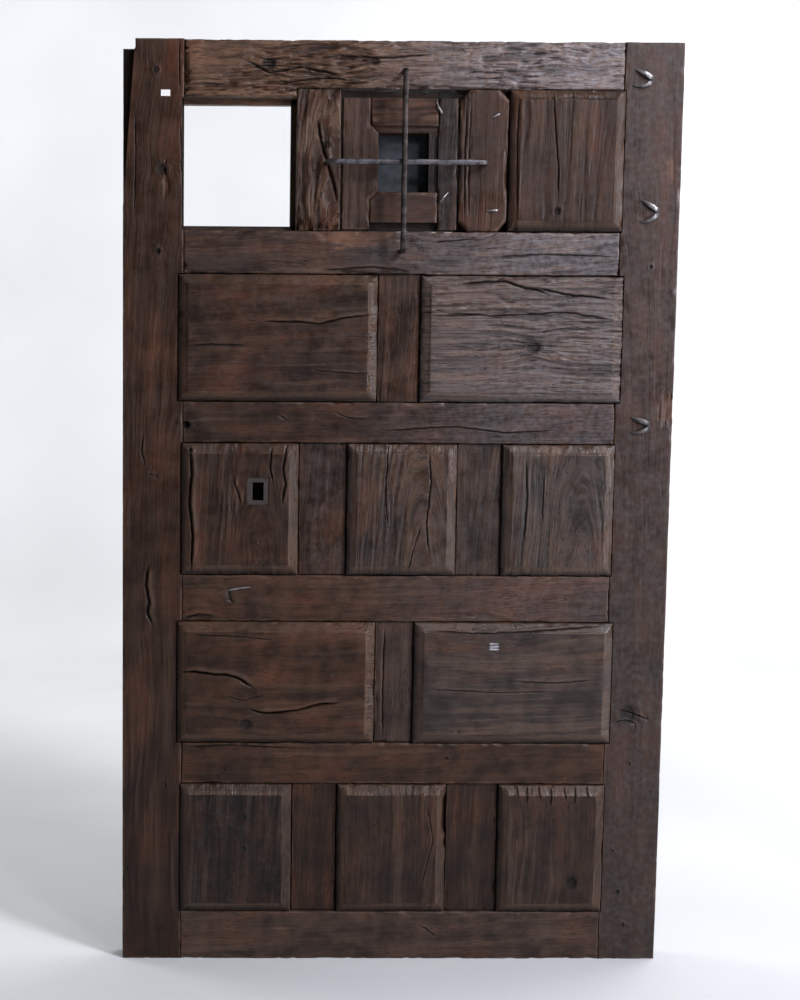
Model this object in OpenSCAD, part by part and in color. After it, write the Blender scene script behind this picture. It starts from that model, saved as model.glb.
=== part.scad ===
/* Panelled wooden door leaf: a pegged frame of stiles, rails and muntins, raised
   panels held in grooves, one panel opening empty, a hinged wicket behind an iron
   grille, a rim lock and three forged hinge eyes. Millimetres, +Z up, the front
   faces -Y, and the origin is the middle of the leaf's bottom edge. */

/* [Leaf] */
// Width over both stiles
leaf_w = 1092; // [900:2:1400]
// Height from the bottom edge to the top edge
leaf_h = 1840; // [1760:2:2300]
// Thickness of stiles and rails
leaf_t = 50; // [44:1:60]
// Width of the stile on the lock side
lock_stile_w = 119; // [80:1:150]
// Width of the stile on the hinge side
hanging_stile_w = 116; // [80:1:150]

/* [Rails and rows] */
// Height of the top rail
top_rail_h = 92; // [60:1:130]
// Height of row 1, with the wicket
row_1_h = 274; // [255:1:330]
// Height of the second rail
second_rail_h = 84; // [60:1:120]
// Height of row 2
row_2_h = 251; // [150:1:350]
// Height of the third rail
third_rail_h = 81; // [60:1:120]
// Height of row 3, with the keyhole
row_3_h = 265; // [180:1:350]
// Height of the fourth rail
fourth_rail_h = 93; // [60:1:120]
// Height of row 4
row_4_h = 249; // [150:1:350]
// Height of the fifth rail
fifth_rail_h = 84; // [60:1:120]
// Height of the bottom rail
bottom_rail_h = 100; // [60:1:160]
// How far the top rail hangs lower over the empty opening
top_rail_drop = 19; // [0:1:30]

/* [Muntins] */
// Centre of row 1's left muntin from the centre line
muntin_1_x = -164; // [-180:1:-155]
// Width of row 1's left muntin
muntin_1_w = 86; // [60:1:90]
// Centre of row 1's clipped muntin
clipped_muntin_x = 158.5; // [150:0.5:170]
// Width of row 1's clipped muntin
clipped_muntin_w = 95; // [80:1:98]
// Width of the clip on the clipped muntin's corners
clip_w = 18; // [8:1:24]
// Height of the clip on the clipped muntin's corners
clip_h = 20; // [8:1:30]
// Centre of row 2's muntin
muntin_2_x = -2; // [-40:1:40]
// Width of row 2's muntin
muntin_2_w = 82; // [60:1:120]
// Centre of row 3's left muntin
muntin_3_left_x = -148; // [-170:1:-130]
// Width of row 3's left muntin
muntin_3_left_w = 94; // [60:1:110]
// Centre of row 3's right muntin
muntin_3_right_x = 164; // [140:1:180]
// Width of row 3's right muntin
muntin_3_right_w = 88; // [60:1:110]
// Centre of row 4's muntin
muntin_4_x = 0; // [-40:1:40]
// Width of row 4's muntin
muntin_4_w = 76; // [60:1:120]
// Centre of row 5's left muntin
muntin_5_left_x = -157; // [-170:1:-130]
// Width of row 5's left muntin
muntin_5_left_w = 90; // [60:1:110]
// Centre of row 5's right muntin
muntin_5_right_x = 164; // [140:1:180]
// Width of row 5's right muntin
muntin_5_right_w = 104; // [60:1:110]
// How far the muntins lie behind the rails
muntin_set_back = 5; // [0:1:10]

/* [Panels] */
// How far a raised field stands in front of the rails
field_proud = 13; // [4:1:18]
// How far a panel's outer edge stands in front of the rails
edge_proud = 3; // [0:1:6]
// Width of the bevel round a field
bevel_w = 20; // [10:1:30]
// Gap round a panel in its rebate
panel_gap = 1.2; // [0.5:0.1:2]
// How far the rails' and muntins' back lips reach behind a panel
lip = 10; // [6:1:14]
// Thickness of the back lips
lip_t = 19; // [12:1:22]
// How far the wide panels lap over the stiles
lap_wide = 11; // [2:1:14]
// How far the narrow panels lap over the stiles
lap_narrow = 4; // [2:1:14]
// Depth of the panel grooves
groove_d = 9; // [6:1:11]
// Width of the panel grooves
groove_w = 10; // [6:1:12]
// Clearance of a panel's tongue at the groove's bottom
tongue_end_gap = 1; // [0.5:0.1:2]
// Clearance on each face of a tongue or a tenon
joint_clear = 0.25; // [0.1:0.05:0.5]

/* [Tenons and pegs] */
// Length of the rails' tenons
rail_tenon_l = 92; // [50:1:72]
// Length of the muntins' tenons
muntin_tenon_l = 28; // [15:1:28]
// Thickness of the tenons
tenon_t = 16; // [10:1:20]
// Step from a rail's or muntin's edge to its tenon
haunch = 12; // [11:1:20]
// Diameter of the tenon pegs
peg_d = 8; // [6:0.5:14]
// Radial clearance of the pegs
peg_clear = 0.05; // [0.02:0.01:0.1]
// Peg centres from the leaf's edge
peg_inset = 64; // [40:1:75]
// How far below the top rail's middle its pegs sit
top_peg_drop = 14; // [0:1:20]
// Wood left in front of the hidden pegs
peg_cover = 6; // [3:1:10]

/* [Broken corner] */
// Width of the split-off front arris at the top of the lock stile
break_w = 24; // [5:1:40]
// Length of the split-off arris
break_l = 320; // [50:10:500]
// Depth of the split from the front
break_d = 17; // [5:1:25]
// How much shorter the wood behind the split is
break_drop = 18; // [5:1:30]

/* [Wicket] */
// Gap round the wicket in its opening
wicket_gap = 2.5; // [1:0.5:4]
// Thickness of the wicket
wicket_t = 44; // [30:1:44]
// Width of the wicket's free stile
free_stile_w = 56; // [40:1:60]
// Extra width of the free stile beside the spyhole
free_stile_shoulder = 16; // [0:1:20]
// Width of the wicket's hinge stile
hinge_stile_w = 38; // [30:1:50]
// Extra width of the hinge stile beside the spyhole, moulded
spyhole_moulding = 18; // [10:1:24]
// Height from the wicket's bottom edge to the spyhole
spyhole_sill = 74; // [55:1:90]
// Height of the spyhole
spyhole_h = 114; // [60:1:120]
// Step of the moulding round the spyhole
moulding_step = 6; // [2:1:8]
// Height of the moulding along the spyhole's top
moulding_h = 13; // [6:1:18]
// Height of the set-back margin along the wicket's top and bottom rail
wicket_margin = 15; // [5:1:20]
// Width of the set-back margin along the free stile
free_margin = 3.5; // [1:0.5:8]
// How deep these margins are set back
margin_d = 12; // [4:1:16]
// Length of the wicket's tenons
wicket_tenon_l = 26; // [15:1:28]
// Thickness of the wicket's tenons
wicket_tenon_t = 12; // [8:1:16]
// Wood in front of those tenons, behind the set-back margins
wicket_tenon_cover = 4; // [2:1:6]
// Thickness of the sheet iron behind the spyhole
sheet_t = 2.5; // [1:0.5:4]
// How far that sheet reaches past the spyhole's top and sill
sheet_margin = 8; // [4:1:9]
// Radius of a sheet nail's head
sheet_nail_r = 3; // [2:0.5:4]

/* [Wicket hinges] */
// Height of a hinge leaf
leaf_plate_h = 34; // [24:1:38]
// Thickness of a hinge leaf
leaf_plate_t = 3; // [2:0.5:4]
// Length of the leaf on the wicket
wicket_plate_l = 58; // [40:1:60]
// End of the leaf on the muntin, from the muntin's far edge
muntin_plate_inset = 8.25; // [4:0.25:20]
// Outer radius of the knuckles
knuckle_r = 6; // [5:0.5:8]
// Radius of the hinge pin
hinge_pin_r = 3; // [2:0.5:3.5]
// Radial clearance of the hinge pin
pin_clear = 0.05; // [0.02:0.01:0.1]
// Height of the wicket's middle knuckle
mid_knuckle_h = 13; // [8:1:16]
// Gap between knuckles
knuckle_gap = 0.5; // [0.3:0.1:1]
// Gap between the knuckles and the wood
knuckle_lift = 0.5; // [0.3:0.1:1]
// Centre of the upper hinge below the opening's top
upper_hinge_drop = 46; // [40:1:50]
// Centre of the lower hinge above the opening's bottom
lower_hinge_rise = 50; // [45:1:52]
// Nail in the wicket leaf, from the hinge axis
wicket_nail_x = 34; // [20:1:50]
// Nail in the muntin leaf, from the muntin's far edge
muntin_nail_inset = 18.25; // [14:0.25:30]
// Offset of the lower hinge's nails above and below its centre
lower_nail_step = 8; // [0:1:10]

/* [Nails] */
// Width of a square nail shank
nail_w = 5; // [3:0.5:6]
// Length of a nail's clenched end
clench_l = 24; // [10:1:40]
// Thickness of a clenched end
clench_t = 3; // [2:0.5:5]
// Width of a clenched end's tip
clench_tip = 2; // [1:0.5:4]
// Radius of a nail's head
nail_head_r = 7; // [5:0.5:10]
// Height of a nail's head
nail_head_h = 3; // [2:0.5:5]
// The single nail in the fourth rail, from the lock stile
rail_nail_x = 94; // [30:1:200]
// Length of that nail's clenched end
rail_clench_l = 44; // [20:1:60]
// Slope of that clenched end, in degrees
rail_clench_slope = 8; // [0:1:20]
// How far that nail sits above the rail's middle
rail_nail_rise = 16; // [0:1:20]

/* [Grille] */
// Width of the grille bars
bar_w = 11; // [6:1:16]
// Height of the upright bar
upright_h = 355; // [330:1:380]
// Width of the cross bar
crossbar_w = 320; // [300:1:330]
// Centre of the cross bar from the centre line
crossbar_x = 6; // [0:1:12]
// Centre of the upright from the centre line
upright_x = -1; // [-10:1:10]
// Height of the upright's lower end below the second rail's top edge
upright_below = 45; // [20:1:60]
// Height of the cross bar above the second rail's top edge
crossbar_rise = 131; // [100:1:160]
// Clear space between the wood and the cross bar
bar_stand_off = 16; // [8:1:30]
// How deep the bars' ends go into the wood
bar_bite = 22; // [10:1:30]

/* [Hinge eyes] */
// Outer radius of a hinge eye
eye_r = 14; // [11:0.5:18]
// Radius of the eye's bore
eye_bore_r = 8; // [5:0.5:9]
// Height of the eye
eye_h = 24; // [16:1:40]
// Gap between the eye and the leaf's back
eye_lift = 3; // [1:0.5:10]
// Width of the eye's shank
shank_w = 8; // [5:1:12]
// Height of the eye's shank
shank_h = 13; // [8:1:20]
// Length of a clenched leg on the front
leg_l = 42; // [20:1:50]
// Thickness of a clenched leg
leg_t = 4; // [2:0.5:6]
// Width of a clenched leg where its point begins
leg_w = 6; // [4:0.5:8]
// Width of a clenched leg's tip
leg_tip = 3; // [1:0.5:4]
// Upper eye: its height below the top edge
eye_top_drop = 77; // [50:1:120]
// Upper eye: from the leaf's edge
eye_top_inset = 64; // [40:1:70]
// Middle eye: its height below the top edge
eye_mid_drop = 328; // [250:1:400]
// Middle eye: from the leaf's edge
eye_mid_inset = 45; // [40:1:70]
// Lower eye: its height below the top edge
eye_low_drop = 745; // [600:1:900]
// Lower eye: from the leaf's edge
eye_low_inset = 49; // [40:1:70]

/* [Lock] */
// Keyhole's centre from row 3's left muntin
key_from_muntin = 82; // [60:1:90]
// Keyhole's centre above row 3's bottom
key_rise = 169; // [120:1:180]
// Width of the keyhole
keyhole_w = 22; // [10:1:26]
// Height of the keyhole
keyhole_h = 36; // [30:1:40]
// Width of the keyhole plate
key_plate_w = 44; // [38:1:60]
// Height of the keyhole plate
key_plate_h = 54; // [50:1:70]
// Thickness of the keyhole plate
key_plate_t = 2; // [1:0.5:3]
// How deep the keyhole plate is let into the panel
key_plate_sunk = 5; // [2:1:10]
// Radius of the keyhole plate's nails
key_nail_r = 2; // [1:0.5:3]
// Lock case from the leaf's edge
case_inset = 6; // [2:1:20]
// Lock case past the keyhole
case_tail = 60; // [40:1:70]
// Height of the lock case
case_h = 126; // [110:1:150]
// Depth of the lock case
case_d = 27; // [22:1:40]
// Sheet thickness of the lock case
case_t = 2.5; // [1.5:0.5:4]
// Width of the lock case's nailing flanges
flange_w = 16; // [12:1:25]
// Height of the bolt
bolt_h = 22; // [12:1:26]
// Thickness of the bolt
bolt_t = 10; // [6:1:12]
// Clearance round the bolt
bolt_clear = 0.4; // [0.3:0.1:1]
// Height of the bolt's lower edge above the keyhole's centre
bolt_rise = 26; // [24:1:30]
// Depth of the key's notch in the bolt
talon_d = 8; // [4:1:10]
// Thickness of the bolt spring
spring_t = 1.2; // [0.8:0.1:2]
// Length of the bolt spring
spring_l = 90; // [60:1:120]
// Gap between the spring and the bolt
spring_gap = 0.5; // [0.3:0.1:2]
// Bolt past the keyhole's centre
bolt_tail = 42; // [36:1:50]
// Width of the key's notch at its mouth
talon_w = 24; // [18:1:30]
// Width of the key's notch at its top
talon_top_w = 14; // [8:1:16]
// Bolt guide from the keyhole's centre
guide_rise = 26; // [20:1:32]
// Length of the bolt guide
guide_l = 8; // [4:1:12]
// How far the guide wraps the bolt above and below
guide_wrap = 5; // [3:1:8]
// How far the guide wraps the bolt on the wood's side
guide_cover = 4; // [2:1:6]
// First column of the case's nails, from the case's end
lock_nail_first = 30; // [10:1:50]
// Last column of the case's nails, from the case's other end
lock_nail_last = 8; // [6:1:20]
// Length of the case's nails in the wood
lock_nail_l = 15; // [10:1:25]
// Radius of the case's nail heads
lock_nail_head_r = 6; // [4:0.5:8]
// Height of the case's nail heads
lock_nail_head_h = 2; // [1:0.5:4]

/* [Turn button and tag] */
// Length of the wicket's turn button
button_l = 88; // [70:1:110]
// Width of the turn button
button_w = 24; // [16:1:28]
// Thickness of the turn button
button_t = 12; // [8:1:18]
// Pivot of the turn button from the muntin's edge
button_inset = 21; // [16:1:28]
// Radius of the turn button's pivot nail
pivot_r = 3; // [2:0.5:5]
// Length of the pivot nail in the muntin
pivot_nail_l = 19; // [12:1:22]
// Running gap of the turn button
button_clear = 0.3; // [0.2:0.1:1]
// Width of the blank paper tag
tag_w = 18; // [8:1:30]
// Height of the blank paper tag
tag_h = 12; // [6:1:20]
// Thickness of the blank paper tag
tag_t = 0.5; // [0.3:0.1:1]
// Tag's centre from the leaf's edge
tag_inset = 83; // [20:1:100]
// Tag's centre below the top edge
tag_drop = 104; // [20:1:200]

/* [Hidden] */
$fn = 48;

wood = [0.27, 0.18, 0.14];
wood_dark = [0.2, 0.14, 0.11];
wood_red = [0.33, 0.2, 0.14];
iron = [0.2, 0.2, 0.21];
iron_worn = [0.42, 0.42, 0.44];
paper = [0.9, 0.9, 0.88];

past = 1;                       // how far a cut runs past a face
groove_wall = 2;                // wood between a groove and the back lip
blind_gap = 1;                  // room past the end of a nail or a bolt in its hole
peg_end_gap = 0.01;             // gap at the hidden front end of a peg
front = -leaf_t / 2;
back = leaf_t / 2;
left = -leaf_w / 2;
right = leaf_w / 2;
shoulder_l = left + lock_stile_w;
shoulder_r = right - hanging_stile_w;

// Heights, stacked from the top edge down; row 5 takes what is left
row_1_top = leaf_h - top_rail_h;
row_1_bot = row_1_top - row_1_h;
row_2_top = row_1_bot - second_rail_h;
row_2_bot = row_2_top - row_2_h;
row_3_top = row_2_bot - third_rail_h;
row_3_bot = row_3_top - row_3_h;
row_4_top = row_3_bot - fourth_rail_h;
row_4_bot = row_4_top - row_4_h;
row_5_top = row_4_bot - fifth_rail_h;
row_5_bot = bottom_rail_h;
empty_top = row_1_top - top_rail_drop;

lip_y = back - lip_t;
groove_y = lip_y - groove_wall - groove_w;
muntin_y = front + muntin_set_back;
field_y = front - field_proud;
edge_y = front - edge_proud;

// Edges of a member from its centre and width
function low(x, w) = x - w / 2;
function high(x, w) = x + w / 2;

// A cell: [left, right, bottom, top, left lip, right lip]
function narrow_left(x1, z0, z1) = [shoulder_l - lap_narrow, x1, z0, z1, lap_narrow, lip];
function narrow_right(x0, z0, z1) = [x0, shoulder_r + lap_narrow, z0, z1, lip, lap_narrow];
function wide_left(x1, z0, z1) = [shoulder_l - lap_wide, x1, z0, z1, lap_wide, lip];
function wide_right(x0, z0, z1) = [x0, shoulder_r + lap_wide, z0, z1, lip, lap_wide];
function middle(x0, x1, z0, z1) = [x0, x1, z0, z1, lip, lip];

cell_empty = narrow_left(low(muntin_1_x, muntin_1_w), row_1_bot, empty_top);
cell_1 = narrow_right(high(clipped_muntin_x, clipped_muntin_w), row_1_bot, row_1_top);
cell_2_left = wide_left(low(muntin_2_x, muntin_2_w), row_2_bot, row_2_top);
cell_2_right = wide_right(high(muntin_2_x, muntin_2_w), row_2_bot, row_2_top);
cell_3_left = narrow_left(low(muntin_3_left_x, muntin_3_left_w), row_3_bot, row_3_top);
cell_3_middle = middle(high(muntin_3_left_x, muntin_3_left_w),
                       low(muntin_3_right_x, muntin_3_right_w), row_3_bot, row_3_top);
cell_3_right = narrow_right(high(muntin_3_right_x, muntin_3_right_w), row_3_bot, row_3_top);
cell_4_left = wide_left(low(muntin_4_x, muntin_4_w), row_4_bot, row_4_top);
cell_4_right = wide_right(high(muntin_4_x, muntin_4_w), row_4_bot, row_4_top);
cell_5_left = narrow_left(low(muntin_5_left_x, muntin_5_left_w), row_5_bot, row_5_top);
cell_5_middle = middle(high(muntin_5_left_x, muntin_5_left_w),
                       low(muntin_5_right_x, muntin_5_right_w), row_5_bot, row_5_top);
cell_5_right = narrow_right(high(muntin_5_right_x, muntin_5_right_w), row_5_bot, row_5_top);
cells = [cell_empty, cell_1, cell_2_left, cell_2_right, cell_3_left, cell_3_middle,
         cell_3_right, cell_4_left, cell_4_right, cell_5_left, cell_5_middle, cell_5_right];

// Rails: [bottom, top] of each front face, top rail first
rail_spans = [[row_1_top, leaf_h], [row_2_top, row_1_bot], [row_3_top, row_2_bot],
              [row_4_top, row_3_bot], [row_5_top, row_4_bot], [0, row_5_bot]];
// Muntins: [left, right, bottom, top]
muntin_spans = [
  [low(muntin_1_x, muntin_1_w), high(muntin_1_x, muntin_1_w), row_1_bot, row_1_top],
  [low(clipped_muntin_x, clipped_muntin_w), high(clipped_muntin_x, clipped_muntin_w),
   row_1_bot, row_1_top],
  [low(muntin_2_x, muntin_2_w), high(muntin_2_x, muntin_2_w), row_2_bot, row_2_top],
  [low(muntin_3_left_x, muntin_3_left_w), high(muntin_3_left_x, muntin_3_left_w),
   row_3_bot, row_3_top],
  [low(muntin_3_right_x, muntin_3_right_w), high(muntin_3_right_x, muntin_3_right_w),
   row_3_bot, row_3_top],
  [low(muntin_4_x, muntin_4_w), high(muntin_4_x, muntin_4_w), row_4_bot, row_4_top],
  [low(muntin_5_left_x, muntin_5_left_w), high(muntin_5_left_x, muntin_5_left_w),
   row_5_bot, row_5_top],
  [low(muntin_5_right_x, muntin_5_right_w), high(muntin_5_right_x, muntin_5_right_w),
   row_5_bot, row_5_top]
];

// Wicket opening and the wicket's own edges
opening_l = high(muntin_1_x, muntin_1_w);
opening_r = low(clipped_muntin_x, clipped_muntin_w);
wicket_l = opening_l + wicket_gap;
wicket_r = opening_r - wicket_gap;
wicket_bot = row_1_bot + wicket_gap;
wicket_top = row_1_top - wicket_gap;
wicket_y = back - wicket_t;
spy_bot = wicket_bot + spyhole_sill;
spy_top = spy_bot + spyhole_h;
spy_l = wicket_l + free_stile_w + free_stile_shoulder;
spy_r = wicket_r - hinge_stile_w - spyhole_moulding;
free_inner = wicket_l + free_stile_w;
hinge_inner = wicket_r - hinge_stile_w;

hinge_x = (wicket_r + opening_r) / 2;
hinge_y = back + knuckle_r + knuckle_lift;
hinge_zs = [row_1_top - upper_hinge_drop, row_1_bot + lower_hinge_rise];
hinge_nail_steps = [0, lower_nail_step];
muntin_plate_l = high(clipped_muntin_x, clipped_muntin_w) - muntin_plate_inset - hinge_x;

key_x = low(muntin_3_left_x, muntin_3_left_w) - key_from_muntin;
key_z = row_3_bot + key_rise;
case_l = left + case_inset;
case_r = key_x + case_tail;
case_top = key_z + case_h / 2;
case_bot = key_z - case_h / 2;
bolt_z = key_z + bolt_rise;
bolt_y = back + (case_d - bolt_t) / 2;
button_x = opening_l - button_inset;
button_z = row_1_bot + row_1_h / 2;

// [height, inset from the leaf's edge] of the hinge eyes, with the legs' two angles
eyes = [[leaf_h - eye_top_drop, right - eye_top_inset, [152, 190]],
        [leaf_h - eye_mid_drop, right - eye_mid_inset, [148, 205]],
        [leaf_h - eye_low_drop, right - eye_low_inset, [160, 196]]];

module block(x0, x1, y0, y1, z0, z1) {
  translate([x0, y0, z0]) cube([x1 - x0, y1 - y0, z1 - z0]);
}

// A cylinder along Y from y0 to y1
module rod_y(x, z, r, y0, y1) {
  translate([x, y0, z]) rotate([-90, 0, 0]) cylinder(h = y1 - y0, r = r);
}

// An outline in the leaf's plane (X, Z), from y0 to y1
module plate(y0, y1) {
  translate([0, y1, 0]) rotate([90, 0, 0]) linear_extrude(y1 - y0) children();
}

// What a cell takes out of the wood round it: its front rebate and its groove
module cell_cut(c) {
  block(c[0], c[1], front - past, lip_y, c[2], c[3]);
  block(c[0] - groove_d, c[1] + groove_d, groove_y, groove_y + groove_w,
        c[2] - groove_d, c[3] + groove_d);
}

module all_cell_cuts() {
  for (c = cells) cell_cut(c);
}

module wicket_opening() {
  block(opening_l, opening_r, front - past, back + past, row_1_bot, row_1_top);
}

// Tenon of a rail, grown by a clearance where it stands for the mortise
module rail_tenons(span, grow) {
  block(shoulder_l - rail_tenon_l - grow, shoulder_r + rail_tenon_l + grow,
        -tenon_t / 2 - grow, tenon_t / 2 + grow,
        span[0] + haunch - grow, span[1] - haunch + grow);
}

module muntin_tenons(m, grow) {
  block(m[0] + haunch - grow, m[1] - haunch + grow, -tenon_t / 2 - grow, tenon_t / 2 + grow,
        m[2] - muntin_tenon_l - grow, m[3] + muntin_tenon_l + grow);
}

function peg_z(i) = (rail_spans[i][0] + rail_spans[i][1]) / 2 - (i == 0 ? top_peg_drop : 0);
// The two upper pegs of the lock stile run right through
function peg_front(i, side) = (side < 0 && i < 2) ? front : front + peg_cover;

module pegs(grow) {
  for (i = [0 : len(rail_spans) - 1], side = [-1, 1])
    rod_y(side * (leaf_w / 2 - peg_inset), peg_z(i), peg_d / 2 + grow,
          peg_front(i, side) - (grow > 0 ? peg_end_gap : 0), back + (grow > 0 ? past : 0));
}

module stile(x0, x1) {
  difference() {
    block(x0, x1, front, back, 0, leaf_h);
    all_cell_cuts();
    for (s = rail_spans) rail_tenons(s, joint_clear);
    pegs(peg_clear);
  }
}

module eye_shank_holes() {
  for (e = eyes)
    block(e[1] - shank_w / 2, e[1] + shank_w / 2, front - past, back + past,
          e[0] - shank_h / 2, e[0] + shank_h / 2);
}

module lock_stile() {
  color(wood) difference() {
    stile(left, shoulder_l);
    plate(front - past, front + break_d)
      polygon([[left - past, leaf_h + past], [left + break_w, leaf_h + past],
               [left + break_w, leaf_h], [left, leaf_h - break_l], [left - past, leaf_h - break_l]]);
    block(left - past, left + break_w, front - past, back + past,
          leaf_h - break_drop, leaf_h + past);
    lock_nail_shanks();
  }
}

module hanging_stile() {
  color(wood) difference() {
    stile(shoulder_r, right);
    eye_shank_holes();
  }
}

module rail(span, tone) {
  color(tone) difference() {
    union() {
      block(shoulder_l, shoulder_r, front, lip_y, span[0], span[1]);
      block(shoulder_l, shoulder_r, lip_y, back, max(0, span[0] - lip), min(leaf_h, span[1] + lip));
      rail_tenons(span, 0);
      children();
    }
    all_cell_cuts();
    wicket_opening();
    for (m = muntin_spans) muntin_tenons(m, joint_clear);
    pegs(peg_clear);
    grille_ends();
    rail_nail_shank();
    eye_shank_holes();
  }
}

module top_rail() {
  rail(rail_spans[0], wood_red) {
    block(shoulder_l, low(muntin_1_x, muntin_1_w), front, back, empty_top, row_1_top);
    block(shoulder_l, low(muntin_1_x, muntin_1_w) - lip, lip_y, back, empty_top - lip, row_1_top);
  }
}
module second_rail() rail(rail_spans[1], wood);
module third_rail() rail(rail_spans[2], wood);
module fourth_rail() rail(rail_spans[3], wood);
module fifth_rail() rail(rail_spans[4], wood_dark);
module bottom_rail() rail(rail_spans[5], wood);

// A muntin: its front and, between the rails' lips, its wider back
module muntin(m, tone, lip_l, lip_r) {
  color(tone) difference() {
    union() {
      block(m[0], m[1], muntin_y, lip_y, m[2], m[3]);
      block(m[0] - lip_l, m[1] + lip_r, lip_y, back, m[2] + lip, m[3] - lip);
      muntin_tenons(m, 0);
    }
    all_cell_cuts();
    children();
  }
}

module muntin_1() {
  muntin(muntin_spans[0], wood_red, lip, 0) {
    // Room for the lower top rail beside it
    block(muntin_spans[0][0] - lip - past, muntin_spans[0][0], lip_y - past, back + past,
          empty_top - lip, row_1_top);
    grille_ends();
    turn_button_shank();
  }
}

module clipped_outline() {
  x0 = muntin_spans[1][0];
  x1 = muntin_spans[1][1];
  polygon([[x0, row_1_bot + clip_h], [x0 + clip_w, row_1_bot], [x1 - clip_w, row_1_bot],
           [x1, row_1_bot + clip_h], [x1, row_1_top - clip_h], [x1 - clip_w, row_1_top],
           [x0 + clip_w, row_1_top], [x0, row_1_top - clip_h]]);
}

module clipped_muntin() {
  m = muntin_spans[1];
  color(wood) difference() {
    union() {
      plate(front, muntin_y) clipped_outline();
      plate(muntin_y, lip_y) clipped_outline();
      block(m[0], m[1] + lip, lip_y, back, m[2] + lip, m[3] - lip);
      muntin_tenons(m, 0);
    }
    all_cell_cuts();
    grille_ends();
    muntin_hinge_shanks();
  }
}

module muntin_2() muntin(muntin_spans[2], wood_dark, lip, lip);
module muntin_3_left() muntin(muntin_spans[3], wood_dark, lip, lip) lock_nail_shanks();
module muntin_3_right() muntin(muntin_spans[4], wood, lip, lip);
module muntin_4() muntin(muntin_spans[5], wood, lip, lip);
module muntin_5_left() muntin(muntin_spans[6], wood, lip, lip);
module muntin_5_right() muntin(muntin_spans[7], wood_dark, lip, lip);

// Profile of a raised panel across one direction, as (across, depth)
module raised_profile(a0, a1) {
  polygon([[a0, lip_y], [a0, edge_y], [a0 + bevel_w, field_y], [a1 - bevel_w, field_y],
           [a1, edge_y], [a1, lip_y]]);
}

module panel(c, tone) {
  x0 = c[0] + panel_gap;
  x1 = c[1] - panel_gap;
  z0 = c[2] + panel_gap;
  z1 = c[3] - panel_gap;
  tongue = groove_d - tongue_end_gap;
  color(tone) difference() {
    union() {
      intersection() {
        translate([0, 0, z0]) linear_extrude(z1 - z0) raised_profile(x0, x1);
        translate([x0, 0, 0]) rotate([90, 0, 90]) linear_extrude(x1 - x0)
          mirror([1, -1]) raised_profile(z0, z1);
      }
      block(c[0] - tongue, c[1] + tongue, groove_y + joint_clear,
            groove_y + groove_w - joint_clear, c[2] - tongue, c[3] + tongue);
      block(x0 + c[4], x1 - c[5], lip_y, back, z0 + lip, z1 - lip);
    }
    children();
  }
}

module panel_1() panel(cell_1, wood);
module panel_2_left() panel(cell_2_left, wood_dark);
module panel_2_right() panel(cell_2_right, wood_red);
module panel_3_left() panel(cell_3_left, wood_dark) {
  keyhole();
  lock_nail_shanks();
}
module panel_3_middle() panel(cell_3_middle, wood);
module panel_3_right() panel(cell_3_right, wood);
module panel_4_left() panel(cell_4_left, wood_dark);
module panel_4_right() panel(cell_4_right, wood);
module panel_5_left() panel(cell_5_left, wood_dark);
module panel_5_middle() panel(cell_5_middle, wood_dark);
module panel_5_right() panel(cell_5_right, wood_dark);

module tenon_pegs() color(wood_dark) pegs(0);

// Wicket: a small framed door with clipped rails round a spyhole
module wicket_margins() {
  y1 = wicket_y + margin_d;
  block(wicket_l - past, wicket_r + past, wicket_y - past, y1, wicket_top - wicket_margin,
        wicket_top + past);
  block(wicket_l - past, wicket_l + free_margin, wicket_y - past, y1, wicket_bot - past,
        wicket_top + past);
}

module free_stile_outline(grow = 0) {
  s = free_stile_shoulder;
  polygon([[wicket_l - grow, wicket_bot - grow], [free_inner + grow, wicket_bot - grow],
           [free_inner + grow, spy_bot - s], [spy_l + grow, spy_bot], [spy_l + grow, spy_top],
           [free_inner + grow, spy_top + s], [free_inner + grow, wicket_top + grow],
           [wicket_l - grow, wicket_top + grow]]);
}

wicket_tenon_y = wicket_y + margin_d + wicket_tenon_cover;
module wicket_tenons(grow) {
  for (z = [[wicket_bot + haunch, spy_bot - haunch], [spy_top + haunch, wicket_top - haunch]])
    block(free_inner - wicket_tenon_l - grow, hinge_inner + wicket_tenon_l + grow,
          wicket_tenon_y - grow, wicket_tenon_y + wicket_tenon_t + grow,
          z[0] - grow, z[1] + grow);
}

module wicket_free_stile() {
  color(wood) difference() {
    plate(wicket_y, back) free_stile_outline();
    wicket_tenons(joint_clear);
    wicket_margins();
    sheet_nail_shanks();
  }
}

module wicket_hinge_stile() {
  color(wood_dark) difference() {
    union() {
      block(hinge_inner, wicket_r, wicket_y, back, wicket_bot, wicket_top);
      block(spy_r, hinge_inner, wicket_y + moulding_step, back, spy_bot, spy_top);
    }
    wicket_tenons(joint_clear);
    wicket_margins();
    wicket_hinge_shanks();
    sheet_nail_shanks();
  }
}

module wicket_top_rail() {
  color(wood_red) difference() {
    union() {
      plate(wicket_y, back)
        polygon([[free_inner, spy_top + free_stile_shoulder], [spy_l, spy_top],
                 [hinge_inner, spy_top], [hinge_inner, wicket_top], [free_inner, wicket_top]]);
      wicket_tenons_top();
    }
    block(free_inner - past, hinge_inner + past, wicket_y - past, wicket_y + moulding_step,
          spy_top - past, spy_top + moulding_h);
    wicket_margins();
    wicket_hinge_shanks();
    sheet_nail_shanks();
  }
}

module wicket_tenons_top() {
  intersection() {
    wicket_tenons(0);
    block(wicket_l, wicket_r, wicket_y, back, spy_top, wicket_top);
  }
}

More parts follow.
